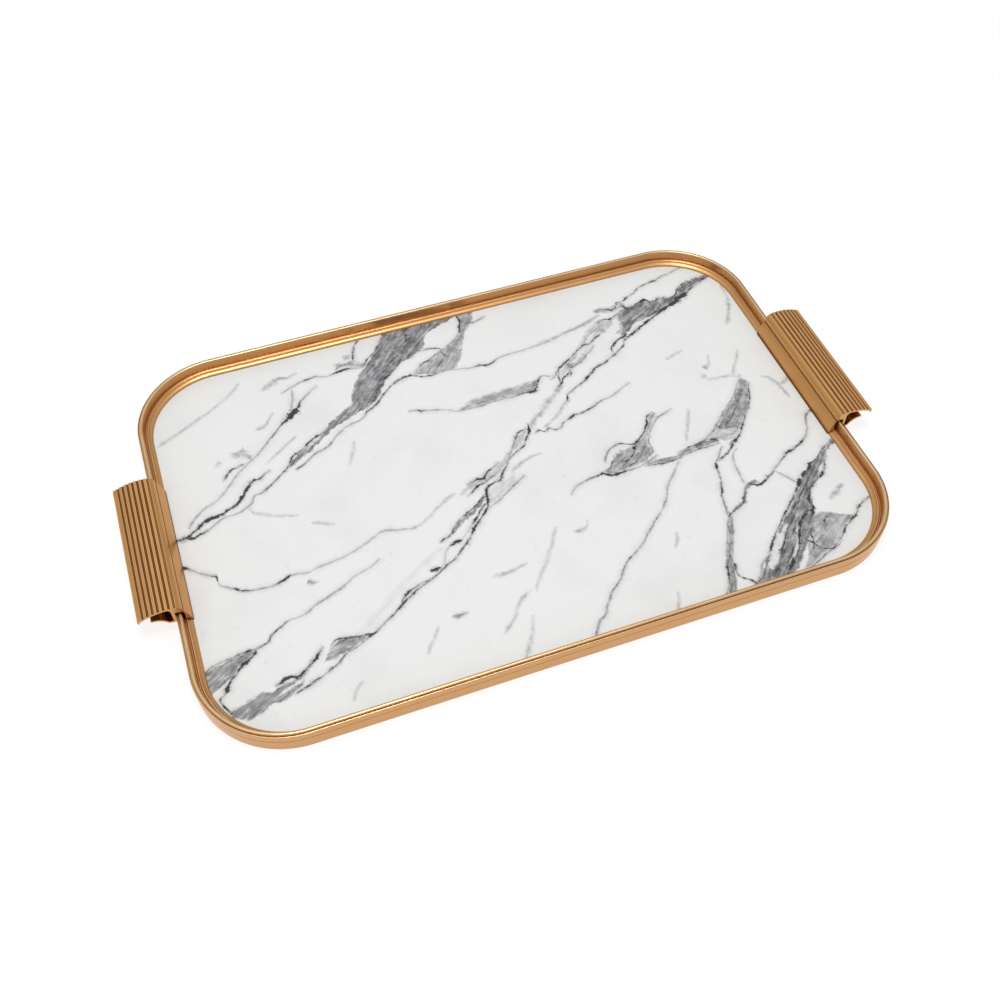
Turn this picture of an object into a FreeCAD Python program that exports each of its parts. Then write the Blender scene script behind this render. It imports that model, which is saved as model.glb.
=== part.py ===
"""Vanity tray: a bent aluminium rim round a laminated panel, with a ribbed clip-on handle at each short end.

Frame: +X runs along the tray's length towards the right handle, +Y towards its back, +Z up.
The origin is the centre of the tray's footprint, on the surface that the rim stands on.
All sizes are in millimetres.
"""
import FreeCAD, Part
import math
import os
import Sketcher

START_POINT = 1
END_POINT = 2
CENTRE_POINT = 3
TOUCHING = 1e-6

# Each driving dimension: its alias in the sheet, its size, and what it is.
DIMENSIONS = (
    ("tray_length", 430.0, "outer length of the rim"),
    ("tray_width", 290.0, "outer width of the rim"),
    ("corner_radius", 55.0, "outer corner radius of the rim"),
    ("rim_height", 15.0, "height of the rim's bead"),
    ("wall", 3.4, "thickness of the rim's hollow wall"),
    ("wall_skin", 1.1, "outer skin of the hollow wall"),
    ("hollow_width", 1.4, "width of the wall's hollow"),
    ("hollow_floor", 2.0, "height of the hollow's floor"),
    ("hollow_roof", 12.0, "height of the hollow's roof"),
    ("foot_round", 0.8, "rounding of the rim's lower outer edge"),
    ("bead_groove", 0.65, "width of the groove outside the bead"),
    ("bead_groove_floor", 13.2, "height of that groove's floor"),
    ("shoulder", 0.5, "width and rounding of the outer shoulder"),
    ("shoulder_top", 14.0, "height of the outer shoulder"),
    ("waist_height", 9.0, "height of the line round the outer face"),
    ("waist_depth", 0.3, "depth of that line, and the handle's catch in it"),
    ("waist_half", 0.4, "half the height of that line"),
    ("ledge_inset", 8.06, "inset of the ledge's inner edge"),
    ("ledge_nose_inset", 6.6, "inset of the top of the ledge's rounded nose"),
    ("ledge_nose_height", 6.7, "height of the top of the nose"),
    ("ledge_nose_round", 1.8, "rounding of the nose"),
    ("ledge_slope_round", 3.0, "hollow curve from the nose to the crest"),
    ("crest_inset", 4.6, "inset of the crest's outer side"),
    ("crest_width", 0.75, "width of the crest"),
    ("crest_round", 0.42, "rounding of the crest"),
    ("crest_height", 8.0, "height of the crest's shoulders"),
    ("lip_inset", 9.2, "inset of the bottom lip's inner edge"),
    ("lip", 1.0, "thickness of the bottom lip"),
    ("slot_inset", 4.4, "inset of the slot's back, where the panel's edge goes"),
    ("panel_gap", 0.2, "gap round the panel's edge"),
    ("face_sheet", 0.7, "thickness of the decorative sheet"),
    ("board", 2.8, "thickness of the board"),
    ("back_sheet", 0.5, "thickness of the backing sheet"),
    ("key_gap", 0.1, "clearance round a joint key"),
    ("key_length", 60.0, "length of a joint key"),
    ("handle_length", 98.0, "length of a handle"),
    ("saddle_gap", 0.15, "clearance between a handle and the rim"),
    ("web_outside", 2.0, "outer face of the handle's web, from the rim's face"),
    ("web_bottom", 7.9, "height of the web's lower end"),
    ("roof", 16.3, "height of the roof over the bead"),
    ("leg_inside", 4.7, "inset of the leg's upright inner face"),
    ("leg_foot", 8.7, "inset of the leg's inner foot"),
    ("leg_round", 40.0, "gentle bulge of the leg"),
    ("neck_inset", 4.75, "inset of the crease between leg and bead"),
    ("neck_height", 16.4, "height of that crease"),
    ("neck_groove", 0.6, "radius of the groove along that crease"),
    ("saddle_round", 6.0, "rounding of the handle's own bead"),
    ("wing_centre", 4.0, "where the wing's curve is highest"),
    ("wing_radius", 32.75, "radius of the wing's top"),
    ("wing_top", 22.6, "height of the wing's top"),
    ("wing_thickness", 1.85, "thickness of the wing at a rib"),
    ("wing_root", 4.6, "where the wing's underside leaves its root curve"),
    ("wing_root_round", 2.6, "rounding from the web to the wing's underside"),
    ("wing_root_height", 18.4, "height where that rounding starts"),
    ("reach", 20.8, "how far the wing reaches out"),
    ("tip_width", 1.1, "thickness of the wing's downturned tip"),
    ("tip_bottom", 16.0, "height of the tip's lower edge"),
    ("tip_round", 0.9, "rounding of the tip's upper edge"),
    ("flange_reach", 13.5, "how far the lower flange reaches out"),
    ("flange_top", 14.7, "height of the flange's free edge"),
    ("flange_radius", 10.65, "radius of the flange's upper side"),
    ("flange_thickness", 1.1, "thickness of the flange"),
    ("flange_root", 9.6, "height of the flange's upper side at the web"),
    ("rib_first", -1.1, "place of the first groove between ribs"),
    ("rib_pitch", 3.06, "distance from groove to groove"),
    ("rib_groove", 0.62, "radius of a groove"),
    ("rib_round", 0.3, "rounding of the ribs' edges"),
)
RIB_GROOVES = 7

# The ends of a groove's edges lie within this many groove radii of its centre.
GROOVE_REACH = 1.2
# Clearances of the handle's leg over the rim, in saddle gaps.
CREST_GAPS = 4
NOSE_GAPS = 3


class Size:
    """A number together with the sheet expression that gives it."""

    def __init__(self, value, text):
        self.value = value
        self.text = text

    def __add__(self, other):
        other = as_size(other)
        return Size(self.value + other.value, f"({self.text} + {other.text})")

    def __sub__(self, other):
        other = as_size(other)
        return Size(self.value - other.value, f"({self.text} - {other.text})")

    def __mul__(self, other):
        other = as_size(other)
        return Size(self.value * other.value, f"({self.text} * {other.text})")

    def __truediv__(self, other):
        other = as_size(other)
        return Size(self.value / other.value, f"({self.text} / {other.text})")

    def __neg__(self):
        return Size(-self.value, f"(-1 * {self.text})")

    def root(self):
        return Size(math.sqrt(self.value), f"sqrt({self.text})")


def as_size(number):
    """Wrap a plain number as a Size."""
    if isinstance(number, Size):
        return number
    return Size(float(number), repr(float(number)))


def make_sheet(doc):
    """Write the driving dimensions to a sheet, and return them as Sizes by name."""
    sheet = doc.addObject("Spreadsheet::Sheet", "sizes")
    sizes = {}
    for row, (alias, value, meaning) in enumerate(DIMENSIONS, start=1):
        sheet.set(f"A{row}", alias)
        sheet.set(f"B{row}", str(value))
        sheet.set(f"C{row}", meaning)
        sheet.setAlias(f"B{row}", alias)
        sizes[alias] = Size(value, f"sizes.{alias}")
    doc.recompute()
    return sizes


def new_body(doc, name):
    """Add an empty body for one sub-part."""
    body = doc.addObject("PartDesign::Body", name)
    body.Label = name
    return body


def new_sketch(body, name, plane):
    """Add a sketch on one of the body's own origin planes."""
    sketch = body.newObject("Sketcher::SketchObject", name)
    support = [item for item in body.Origin.OriginFeatures if item.Role == plane]
    sketch.AttachmentSupport = (support[0], [""])
    sketch.MapMode = "FlatFace"
    return sketch


def arc_middle(start, end, radius):
    """Middle of the shorter arc. A positive radius bulges to the right of the way from start to end."""
    chord = end - start
    half = chord.Length / 2
    rise = abs(radius) - math.sqrt(max(radius * radius - half * half, 0.0))
    side = FreeCAD.Vector(chord.y, -chord.x, 0).normalize()
    return (start + end) / 2 + side * math.copysign(rise, radius)


def bind(sketch, constraint, size):
    """Add one dimension to a sketch and tie it to the sheet."""
    index = sketch.addConstraint(constraint)
    sketch.setExpression(f"Constraints[{index}]", size.text)


def pin_point(sketch, piece, end, spot):
    """Hold one end of a line or arc at a spot given by two Sizes."""
    bind(sketch, Sketcher.Constraint("DistanceX", piece, end, spot[0].value), spot[0])
    bind(sketch, Sketcher.Constraint("DistanceY", piece, end, spot[1].value), spot[1])


def draw_path(sketch, steps, closed=True):
    """Draw lines and arcs through steps. A step is (x, y), or (x, y, radius) where an arc leads to it."""
    spots = [tuple(as_size(number) for number in step[:2]) for step in steps]
    points = [FreeCAD.Vector(spot[0].value, spot[1].value, 0) for spot in spots]
    count = len(steps)
    first = 0 if closed else 1
    ends = []
    for index in range(first, count):
        start, end = points[index - 1], points[index]
        if len(steps[index]) == 2:
            piece = sketch.addGeometry(Part.LineSegment(start, end), False)
        else:
            radius = as_size(steps[index][2])
            middle = arc_middle(start, end, radius.value)
            piece = sketch.addGeometry(Part.Arc(start, middle, end), False)
            half_chord = (end - start).Length / 2
            if abs(radius.value) - half_chord > TOUCHING:
                size = radius if radius.value > 0 else -radius
                bind(sketch, Sketcher.Constraint("Radius", piece, size.value), size)
        flipped = (sketch.getPoint(piece, START_POINT) - start).Length > (end - start).Length / 2
        near, far = (END_POINT, START_POINT) if flipped else (START_POINT, END_POINT)
        ends.append((piece, near, far))
        pin_point(sketch, piece, far, spots[index])
    for index in range(first, len(ends)):
        before, here = ends[index - 1], ends[index]
        sketch.addConstraint(Sketcher.Constraint("Coincident", before[0], before[2], here[0], here[1]))
    if not closed:
        pin_point(sketch, ends[0][0], ends[0][1], spots[0])


def half_turn():
    """The placement that carries a piece of the right end or back to the left end or front."""
    return FreeCAD.Placement(FreeCAD.Vector(), FreeCAD.Rotation(FreeCAD.Vector(0, 0, 1), 180))


def pad_both_ways(body, sketch, name, length):
    """Extrude a sketch by half the length to each side of its plane."""
    pad = body.newObject("PartDesign::Pad", name)
    pad.Profile = sketch
    pad.Midplane = True
    pad.setExpression("Length", length.text)
    return pad


# The rim

def bead_radius(d):
    """Radius of the bead on top of the rim's wall, between the wall's inner face and the bead's groove."""
    return (d["wall"] - d["shoulder"] - d["bead_groove"]) / 2


def top_of_panel(d):
    """Height of the panel's upper face."""
    return d["lip"] + d["back_sheet"] + d["board"] + d["face_sheet"]


def rim_outline(d):
    """The rim's section as (inset from the outer face, height, bend), from the lower outer edge inwards.

    The way runs clockwise once it is placed at the right end, so a positive bend is hollow there.
    """
    bead = bead_radius(d)
    bead_side = d["rim_height"] - bead
    panel_top = top_of_panel(d)
    crest_end = d["crest_inset"] + d["crest_width"]
    groove_side = d["shoulder"] + d["bead_groove"]
    shoulder_side = d["shoulder_top"] - d["shoulder"]
    waist_top = d["waist_height"] + d["waist_half"]
    waist_bottom = d["waist_height"] - d["waist_half"]
    crest_gap = (d["crest_inset"] - d["wall"]) / 2
    return (
        (d["foot_round"], 0, -d["foot_round"]),
        (d["lip_inset"], 0),
        (d["lip_inset"], d["lip"]),
        (d["slot_inset"], d["lip"]),
        (d["slot_inset"], panel_top),
        (d["ledge_inset"], panel_top),
        (d["ledge_nose_inset"], d["ledge_nose_height"], -d["ledge_nose_round"]),
        (crest_end, d["crest_height"], d["ledge_slope_round"]),
        (d["crest_inset"], d["crest_height"], -d["crest_round"]),
        (d["wall"], d["crest_height"], crest_gap),
        (d["wall"], bead_side),
        (groove_side, bead_side, -bead),
        (groove_side, d["bead_groove_floor"]),
        (d["shoulder"], d["bead_groove_floor"]),
        (d["shoulder"], d["shoulder_top"]),
        (0, shoulder_side, -d["shoulder"]),
        (0, waist_top),
        (d["waist_depth"], d["waist_height"]),
        (0, waist_bottom),
        (0, d["foot_round"]),
    )


def from_inset(d, outline):
    """Place an outline at the tray's right end, where X is the outer face less the inset."""
    half = d["tray_length"] / 2
    return [(half - step[0],) + tuple(step[1:]) for step in outline]


def hollow_outline(d, gap=0):
    """The hollow in the rim's wall, or with a gap the key that slides into it."""
    near = d["wall_skin"] + gap
    far = d["wall_skin"] + d["hollow_width"] - gap
    floor = d["hollow_floor"] + gap
    roof = d["hollow_roof"] - gap
    return ((near, floor), (far, floor), (far, roof), (near, roof))


def make_rim_half(doc, name, d):
    """Sweep the rim's section round the back half of the tray."""
    body = new_body(doc, name)
    path = new_sketch(body, name + "_path", "XY_Plane")
    half_length = d["tray_length"] / 2
    half_width = d["tray_width"] / 2
    radius = d["corner_radius"]
    draw_path(path, (
        (half_length, 0),
        (half_length, half_width - radius),
        (half_length - radius, half_width, radius),
        (radius - half_length, half_width),
        (-half_length, half_width - radius, radius),
        (-half_length, 0),
    ), closed=False)
    section = new_sketch(body, name + "_section", "XZ_Plane")
    draw_path(section, from_inset(d, rim_outline(d)))
    draw_path(section, from_inset(d, hollow_outline(d)))
    doc.recompute()
    sweep = body.newObject("PartDesign::AdditivePipe", name + "_sweep")
    sweep.Profile = section
    sweep.Spine = path
    sweep.Mode = "Standard"
    return body


def make_joint_key(doc, name, d):
    """A flat key that lies in the hollow across the butt joint of the two rim halves."""
    body = new_body(doc, name)
    sketch = new_sketch(body, name + "_section", "XZ_Plane")
    draw_path(sketch, from_inset(d, hollow_outline(d, d["key_gap"])))
    pad_both_ways(body, sketch, name + "_pad", d["key_length"])
    return body


# The panel

def make_layer(doc, name, d, thickness, height):
    """One flat sheet of the panel, with its corners rounded to follow the rim's slot."""
    inset = d["slot_inset"] + d["panel_gap"]
    x = d["tray_length"] / 2 - inset
    y = d["tray_width"] / 2 - inset
    r = d["corner_radius"] - inset
    body = new_body(doc, name)
    sketch = new_sketch(body, name + "_outline", "XY_Plane")
    draw_path(sketch, (
        (x, y - r),
        (x - r, y, r),
        (r - x, y),
        (-x, y - r, r),
        (-x, r - y),
        (r - x, -y, r),
        (x - r, -y),
        (x, r - y, r),
    ))
    pad = body.newObject("PartDesign::Pad", name + "_pad")
    pad.Profile = sketch
    pad.setExpression("Length", thickness.text)
    body.setExpression("Placement.Base.z", height.text)
    return body


# The handles

def other_side(longest, side):
    """The third side of a right-angled triangle."""
    return (longest * longest - side * side).root()


def circle_height(centre, radius, top, place):
    """Height of a circle above a place, given where its top is."""
    return top - radius + other_side(radius, place - centre)


def handle_outline(d):
    """The handle's section as (distance out from the rim's face, height), from the leg's foot."""
    bead_centre = bead_radius(d) - d["wall"]
    roof_radius = d["leg_inside"] + bead_centre
    panel_top = top_of_panel(d)
    clear_of_crest = d["crest_height"] + d["saddle_gap"] * CREST_GAPS
    heel = -d["ledge_inset"] - d["saddle_gap"]
    under_radius = d["wing_radius"] - d["wing_thickness"]
    under_top = d["wing_top"] - d["wing_thickness"]
    tip_inside = d["reach"] - d["tip_width"]
    tip_shoulder = d["reach"] - d["tip_round"]
    flange_under = d["flange_radius"] - d["flange_thickness"]
    flange_under_top = d["flange_top"] - d["flange_thickness"]
    flange_under_root = d["flange_root"] - d["flange_thickness"]
    flange_centre = d["flange_top"] - d["flange_radius"]
    upper_drop = d["flange_root"] - flange_centre
    under_drop = flange_under_root - flange_centre
    upper_root = d["flange_reach"] - other_side(d["flange_radius"], upper_drop)
    under_root = d["flange_reach"] - other_side(flange_under, under_drop)
    wing = (d["wing_centre"], d["wing_radius"], d["wing_top"])
    underside = (d["wing_centre"], under_radius, under_top)
    return (
        (-d["leg_foot"], panel_top),
        (heel, panel_top),
        (-d["ledge_inset"], d["ledge_nose_height"] - d["saddle_gap"] * NOSE_GAPS),
        (-d["crest_inset"] - d["crest_width"], clear_of_crest),
        (-d["leg_inside"], clear_of_crest + d["crest_round"]),
        (-d["leg_inside"], d["roof"] - roof_radius),
        (bead_centre, d["roof"], -roof_radius),
        (d["saddle_gap"], d["roof"]),
        (d["saddle_gap"], d["waist_height"] + d["waist_half"] / 2),
        (d["saddle_gap"] - d["waist_depth"], d["waist_height"]),
        (d["saddle_gap"], d["waist_height"] - d["waist_half"] / 2),
        (d["saddle_gap"], d["web_bottom"]),
        (d["web_outside"], d["web_bottom"]),
        (under_root, flange_under_root),
        (d["flange_reach"], flange_under_top, -flange_under),
        (d["flange_reach"], d["flange_top"], d["flange_thickness"] / 2),
        (upper_root, d["flange_root"], d["flange_radius"]),
        (d["web_outside"], d["flange_root"]),
        (d["web_outside"], d["wing_root_height"]),
        (d["wing_root"], circle_height(*underside, d["wing_root"]), -d["wing_root_round"]),
        (tip_inside, circle_height(*underside, tip_inside), -under_radius),
        (tip_inside, d["tip_bottom"]),
        (d["reach"], d["tip_bottom"], d["tip_width"] / 2),
        (d["reach"], circle_height(*wing, tip_shoulder) - d["tip_round"]),
        (tip_shoulder, circle_height(*wing, tip_shoulder), d["tip_round"]),
        (d["rib_first"], circle_height(*wing, d["rib_first"]), d["wing_radius"]),
        (-d["neck_inset"], d["neck_height"], d["saddle_round"]),
        (-d["leg_foot"], panel_top + d["saddle_gap"], d["leg_round"]),
    )


def draw_groove(sketch, d, place, height, radius):
    """A circle that cuts one groove along the handle."""
    x = d["tray_length"] / 2 + place
    centre = FreeCAD.Vector(x.value, height.value, 0)
    circle = sketch.addGeometry(Part.Circle(centre, FreeCAD.Vector(0, 0, 1), radius.value), False)
    bind(sketch, Sketcher.Constraint("Radius", circle, radius.value), radius)
    bind(sketch, Sketcher.Constraint("DistanceX", circle, CENTRE_POINT, x.value), x)
    bind(sketch, Sketcher.Constraint("DistanceY", circle, CENTRE_POINT, height.value), height)


def groove_edge_names(body, d, spots):
    """Names of the long edges where grooves meet the wing's top."""
    names = []
    reach = d["rib_groove"].value * GROOVE_REACH
    rim_face = d["tray_length"].value / 2
    for index, edge in enumerate(body.Shape.Edges, start=1):
        ends = [vertex.Point for vertex in edge.Vertexes]
        if len(ends) != 2 or abs(ends[0].y - ends[1].y) < d["handle_length"].value / 2:
            continue
        for place, height in spots:
            gap = math.hypot(ends[0].x - rim_face - place.value, ends[0].z - height.value)
            if gap < reach:
                names.append(f"Edge{index}")
    return names


def make_handle(doc, name, d):
    """Extrude the handle's section, cut its grooves, and round the ribs between them."""
    body = new_body(doc, name)
    half = d["tray_length"] / 2
    section = new_sketch(body, name + "_section", "XZ_Plane")
    steps = [(half + step[0],) + tuple(step[1:]) for step in handle_outline(d)]
    draw_path(section, steps)
    pad_both_ways(body, section, name + "_pad", d["handle_length"])
    doc.recompute()
    solid_volume = body.Shape.Volume
    wing = (d["wing_centre"], d["wing_radius"], d["wing_top"])
    spots = []
    for index in range(RIB_GROOVES):
        place = d["rib_first"] + d["rib_pitch"] * index
        spots.append((place, circle_height(*wing, place)))
    grooves = new_sketch(body, name + "_grooves", "XZ_Plane")
    for place, height in spots:
        draw_groove(grooves, d, place, height, d["rib_groove"])
    draw_groove(grooves, d, -d["neck_inset"], d["neck_height"], d["neck_groove"])
    pocket = body.newObject("PartDesign::Pocket", name + "_pocket")
    pocket.Profile = grooves
    pocket.Midplane = True
    pocket.setExpression("Length", (d["handle_length"] * 2).text)
    doc.recompute()
    if body.Shape.Volume >= solid_volume:
        raise RuntimeError(name + ": the grooves cut nothing")
    fillet = body.newObject("PartDesign::Fillet", name + "_ribs")
    fillet.Base = (pocket, groove_edge_names(body, d, spots))
    fillet.setExpression("Radius", d["rib_round"].text)
    return body


def check_document(doc):
    """Stop if any feature failed to build."""
    for item in doc.Objects:
        if "Invalid" in item.State or "Error" in item.State:
            raise RuntimeError(f"{item.Label} did not build: {item.State}")


def write_parts(bodies):
    """Write each sub-part to its own file, once its shape has been checked."""
    os.makedirs("parts", exist_ok=True)
    for body in bodies:
        shape = body.Shape
        if shape.isNull() or not shape.isValid() or len(shape.Solids) != 1:
            raise RuntimeError(body.Label + " has no single valid solid")
        print(f"{body.Label}: {shape.Volume:.1f} mm3, {len(shape.Faces)} faces, {shape.BoundBox}")
        shape.exportStep(f"parts/{body.Label}.step")


def main():
    doc = FreeCAD.newDocument("vanity_tray")
    d = make_sheet(doc)
    backing_bottom = d["lip"]
    board_bottom = backing_bottom + d["back_sheet"]
    face_bottom = board_bottom + d["board"]
    rim_front = make_rim_half(doc, "rim_front", d)
    key_left = make_joint_key(doc, "joint_key_left", d)
    handle_left = make_handle(doc, "handle_left", d)
    for body in (rim_front, key_left, handle_left):
        body.Placement = half_turn()
    bodies = (
        make_layer(doc, "marble_laminate", d, d["face_sheet"], face_bottom),
        make_layer(doc, "panel_board", d, d["board"], board_bottom),
        make_layer(doc, "backing_sheet", d, d["back_sheet"], backing_bottom),
        rim_front,
        make_rim_half(doc, "rim_back", d),
        key_left,
        make_joint_key(doc, "joint_key_right", d),
        handle_left,
        make_handle(doc, "handle_right", d),
    )
    doc.recompute()
    check_document(doc)
    write_parts(bodies)


main()
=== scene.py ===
"""Looks of the vanity tray: satin gold rim and ribbed handles round a marble-print panel, on a white table.

Sizes in the constants are millimetres and meshes are metres. +X is the tray's length, +Y its back, +Z up.
"""
import math
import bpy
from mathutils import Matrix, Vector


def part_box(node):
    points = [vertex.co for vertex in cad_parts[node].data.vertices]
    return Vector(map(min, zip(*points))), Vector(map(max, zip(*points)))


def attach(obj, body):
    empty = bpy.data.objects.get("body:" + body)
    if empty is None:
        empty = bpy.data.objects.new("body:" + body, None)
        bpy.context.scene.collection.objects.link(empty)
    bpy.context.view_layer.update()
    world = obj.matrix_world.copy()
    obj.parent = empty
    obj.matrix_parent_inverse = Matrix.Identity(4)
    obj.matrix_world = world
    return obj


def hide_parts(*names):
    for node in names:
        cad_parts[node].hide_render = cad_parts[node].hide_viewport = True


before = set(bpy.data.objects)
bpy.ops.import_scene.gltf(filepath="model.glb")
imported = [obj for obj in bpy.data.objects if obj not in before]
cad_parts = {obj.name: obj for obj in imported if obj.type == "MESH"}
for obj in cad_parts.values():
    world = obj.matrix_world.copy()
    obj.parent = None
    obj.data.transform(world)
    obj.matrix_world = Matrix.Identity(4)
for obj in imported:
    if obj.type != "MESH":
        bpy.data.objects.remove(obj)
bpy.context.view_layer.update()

from types import SimpleNamespace

import bmesh
import bpy
import numpy as np
from mathutils import Matrix, Vector

MM = 0.001
UV = "profile"

# Sizes of the rim's section: insets from its outer face, and heights.
RIM = SimpleNamespace(
    radius=55.0, wall=3.4, foot_round=0.8,
    skin=1.1, hollow=1.4, hollow_floor=2.0, hollow_roof=12.0,
    groove=0.65, groove_floor=13.2, shoulder=0.5, shoulder_top=14.0,
    waist=9.0, waist_depth=0.3, waist_half=0.4,
    ledge=8.06, nose=6.6, nose_height=6.7, nose_round=1.8, slope_round=3.0,
    crest=4.6, crest_width=0.75, crest_round=0.42, crest_height=8.0,
    lip_inset=9.2, lip=1.0, slot=4.4,
)

# Sizes of the handle's section: distances out from the rim's outer face, and heights.
GRIP = SimpleNamespace(
    gap=0.15, web=2.0, web_bottom=7.9, roof=16.3,
    leg_inside=4.7, leg_foot=8.7, leg_round=40.0,
    neck=4.75, neck_height=16.4, neck_groove=0.6, saddle_round=6.0,
    wing_centre=4.0, wing_radius=32.75, thickness=1.85,
    root=4.6, root_round=2.6, root_height=18.4,
    tip_width=1.1, tip_bottom=16.0, tip_round=0.9,
    flange=13.5, flange_top=14.7, flange_radius=10.65, flange_thickness=1.1, flange_root=9.6,
    rib_first=-1.1, rib_pitch=3.06, rib_groove=0.62, rib_round=0.3, rib_grooves=7,
)

# How far past its last point a printed line closes, and how far below nothing its width falls there.
END_REACH = 1.5
END_DROP = 4.0

# Limits on how much a line's width is stretched where it runs steeply across its lane.
SHORTEST_RUN = 1e-6
MOST_LEAN = 2.5

# How far noise pushes the print about, coarsely and finely, and by what share it frays a line's width.
ROUGH_WARP = 2.6
FINE_WARP = 1.3
FRAY = (0.25, 2.2)

# How far in and out a patch's edge is ragged, the darkest haze, and how much a crack sinks in a patch.
RAGGED_EDGE = (-1.3, 0.8)
MOST_HAZE = 0.05
CRACK_SINK = 0.45

# The printed streaks inside the grey patches: their size, and the bearings that a patch takes the nearest of.
STREAK_LENGTH = 12.0
STREAK_WIDTH = 1.6
STREAK_BEARINGS = tuple(map(math.radians, (10, 30, 44, 64)))

# How near the section itself, or the panel, has to be to shelter a point; sheltered metal is darkened as
# painted shade.
SHELTER_REACH = 1.7
PANEL_REACH = 4.0

# The fan of rays that feels for shelter: its lift off the surface, and its half spread and step in degrees.
RAY_LIFT = 0.01
RAY_SPREAD = 80
RAY_STEP = 10
NEARLY_NONE = 1e-12

# How far either side a point is compared with to see whether it stands proud, for the painted highlight on
# proud edges.
HIGHLIGHT_AND_WEAR_REACH = 0.8

# Rounding of sharp edges, the chamfer at a sawn end and how far from it the plain sides start.
EDGE_ROUND = 0.14
END_CHAMFER = 0.1
END_SUPPORT = 0.6
SHARP_TURN = math.radians(24)

# Fineness of arcs in a section and of the rim's bends.
ARC_STEP = math.radians(9)
ARC_CHORD = 0.7
BEND_STEPS = 44

# The camera: millimetres of lens and sensor, its bearing from the tray's front, its rise, and metres.
LENS = 39.8
SENSOR = 36.0
AZIMUTH = math.radians(-19.76)
ELEVATION = math.radians(53.0)
DISTANCE = 0.693
AIM = Vector((-0.0109, -0.024, 0.0))

# The studio: strengths of the sky at the horizon, half way up and overhead, and the table's glow.
SKY_LOW = 0.5
SKY_MIDDLE = 0.74
SKY_TOP = 0.84
TABLE_GLOW = 0.83
TABLE_GREY = 0.17
TABLE_HALF = 6.0


# Sections

def arc_through(start, end, radius):
    """Points after start, up to end, of the shorter arc. A positive radius bulges to the way's right."""
    chord = end - start
    half = min(chord.length / 2, abs(radius))
    rise = math.sqrt(max(radius * radius - half * half, 0.0))
    side = Vector((chord.y, -chord.x)).normalized() * math.copysign(1, radius)
    centre = (start + end) / 2 - side * rise
    sweep = 2 * math.asin(min(half / abs(radius), 1.0))
    count = max(2, math.ceil(max(sweep / ARC_STEP, sweep * abs(radius) / ARC_CHORD)))
    turn = math.copysign(sweep, radius)
    spots = []
    for index in range(1, count + 1):
        angle = turn * index / count
        arm = start - centre
        spots.append(centre + Vector((
            arm.x * math.cos(angle) - arm.y * math.sin(angle),
            arm.x * math.sin(angle) + arm.y * math.cos(angle),
        )))
    return spots


def outline_points(steps):
    """Turn a closed list of (x, y) and (x, y, radius) steps into points."""
    points = []
    corners = [Vector(step[:2]) for step in steps]
    for index, step in enumerate(steps):
        if len(step) == 2:
            points.append(corners[index])
        else:
            points.extend(arc_through(corners[index - 1], corners[index], step[2]))
    return points


def round_corners(points, radius):
    """Round every sharp corner of a closed outline, as far as its neighbours leave room."""
    rounded = []
    count = len(points)
    for index, here in enumerate(points):
        before = points[index - 1] - here
        after = points[(index + 1) % count] - here
        turn = math.pi - before.angle(after)
        if turn < SHARP_TURN:
            rounded.append(here)
            continue
        reach = min(radius * math.tan(turn / 2), before.length * 0.45, after.length * 0.45)
        first = here + before.normalized() * reach
        last = here + after.normalized() * reach
        pieces = max(2, math.ceil(turn / (2 * ARC_STEP)))
        rounded.append(first)
        for step in range(1, pieces):
            part = step / pieces
            near = first.lerp(here, part)
            rounded.append(near.lerp(here.lerp(last, part), part))
        rounded.append(last)
    return rounded


def signed_area(points):
    return sum(points[i - 1].x * p.y - p.x * points[i - 1].y for i, p in enumerate(points)) / 2


def outward_normals(points):
    """The outward normal at each point of an outline, led by its longer side."""
    way = math.copysign(1, signed_area(points))
    normals = []
    count = len(points)
    for index, here in enumerate(points):
        before = here - points[index - 1]
        after = points[(index + 1) % count] - here
        lead = before * before.length + after * after.length
        normals.append(Vector((lead.y, -lead.x)).normalized() * way)
    return normals


def shelter(points, normals, panel):
    """How far each point of an outline is shut in by the rest of it and the panel, from 0 in the open to 1.

    Rays fan out from just off each point, and those that meet a side within reach count as closed.
    """
    spots = np.array([tuple(p + n * RAY_LIFT) for p, n in zip(points, normals)])
    starts = np.array([tuple(p) for p in points] + [tuple(panel[0])])
    ends = np.array([tuple(p) for p in points[1:] + points[:1]] + [tuple(panel[1])])
    sides = ends - starts
    reach = np.array([SHELTER_REACH] * len(points) + [PANEL_REACH])
    closed = np.zeros(len(points))
    weights = 0.0
    for degrees in range(-RAY_SPREAD, RAY_SPREAD + 1, RAY_STEP):
        angle = math.radians(degrees)
        turn = Matrix.Rotation(angle, 2)
        rays = np.array([tuple(turn @ n) for n in normals])
        offset = starts[None] - spots[:, None]
        cross = rays[:, None, 0] * sides[None, :, 1] - rays[:, None, 1] * sides[None, :, 0]
        cross = np.where(np.abs(cross) < NEARLY_NONE, NEARLY_NONE, cross)
        along_ray = (offset[..., 0] * sides[None, :, 1] - offset[..., 1] * sides[None, :, 0]) / cross
        along_side = (offset[..., 0] * rays[:, None, 1] - offset[..., 1] * rays[:, None, 0]) / cross
        hit = (along_ray > 0) & (along_ray < reach) & (along_side >= 0) & (along_side <= 1)
        weight = math.cos(angle)
        closed += hit.any(axis=1) * weight
        weights += weight
    return closed / weights


def panel_edge(panel_top):
    """The panel's top beside the rim's ledge, as a line in the section."""
    return Vector((-RIM.nose - RIM.radius, panel_top)), Vector((-RIM.nose, panel_top))


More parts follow.
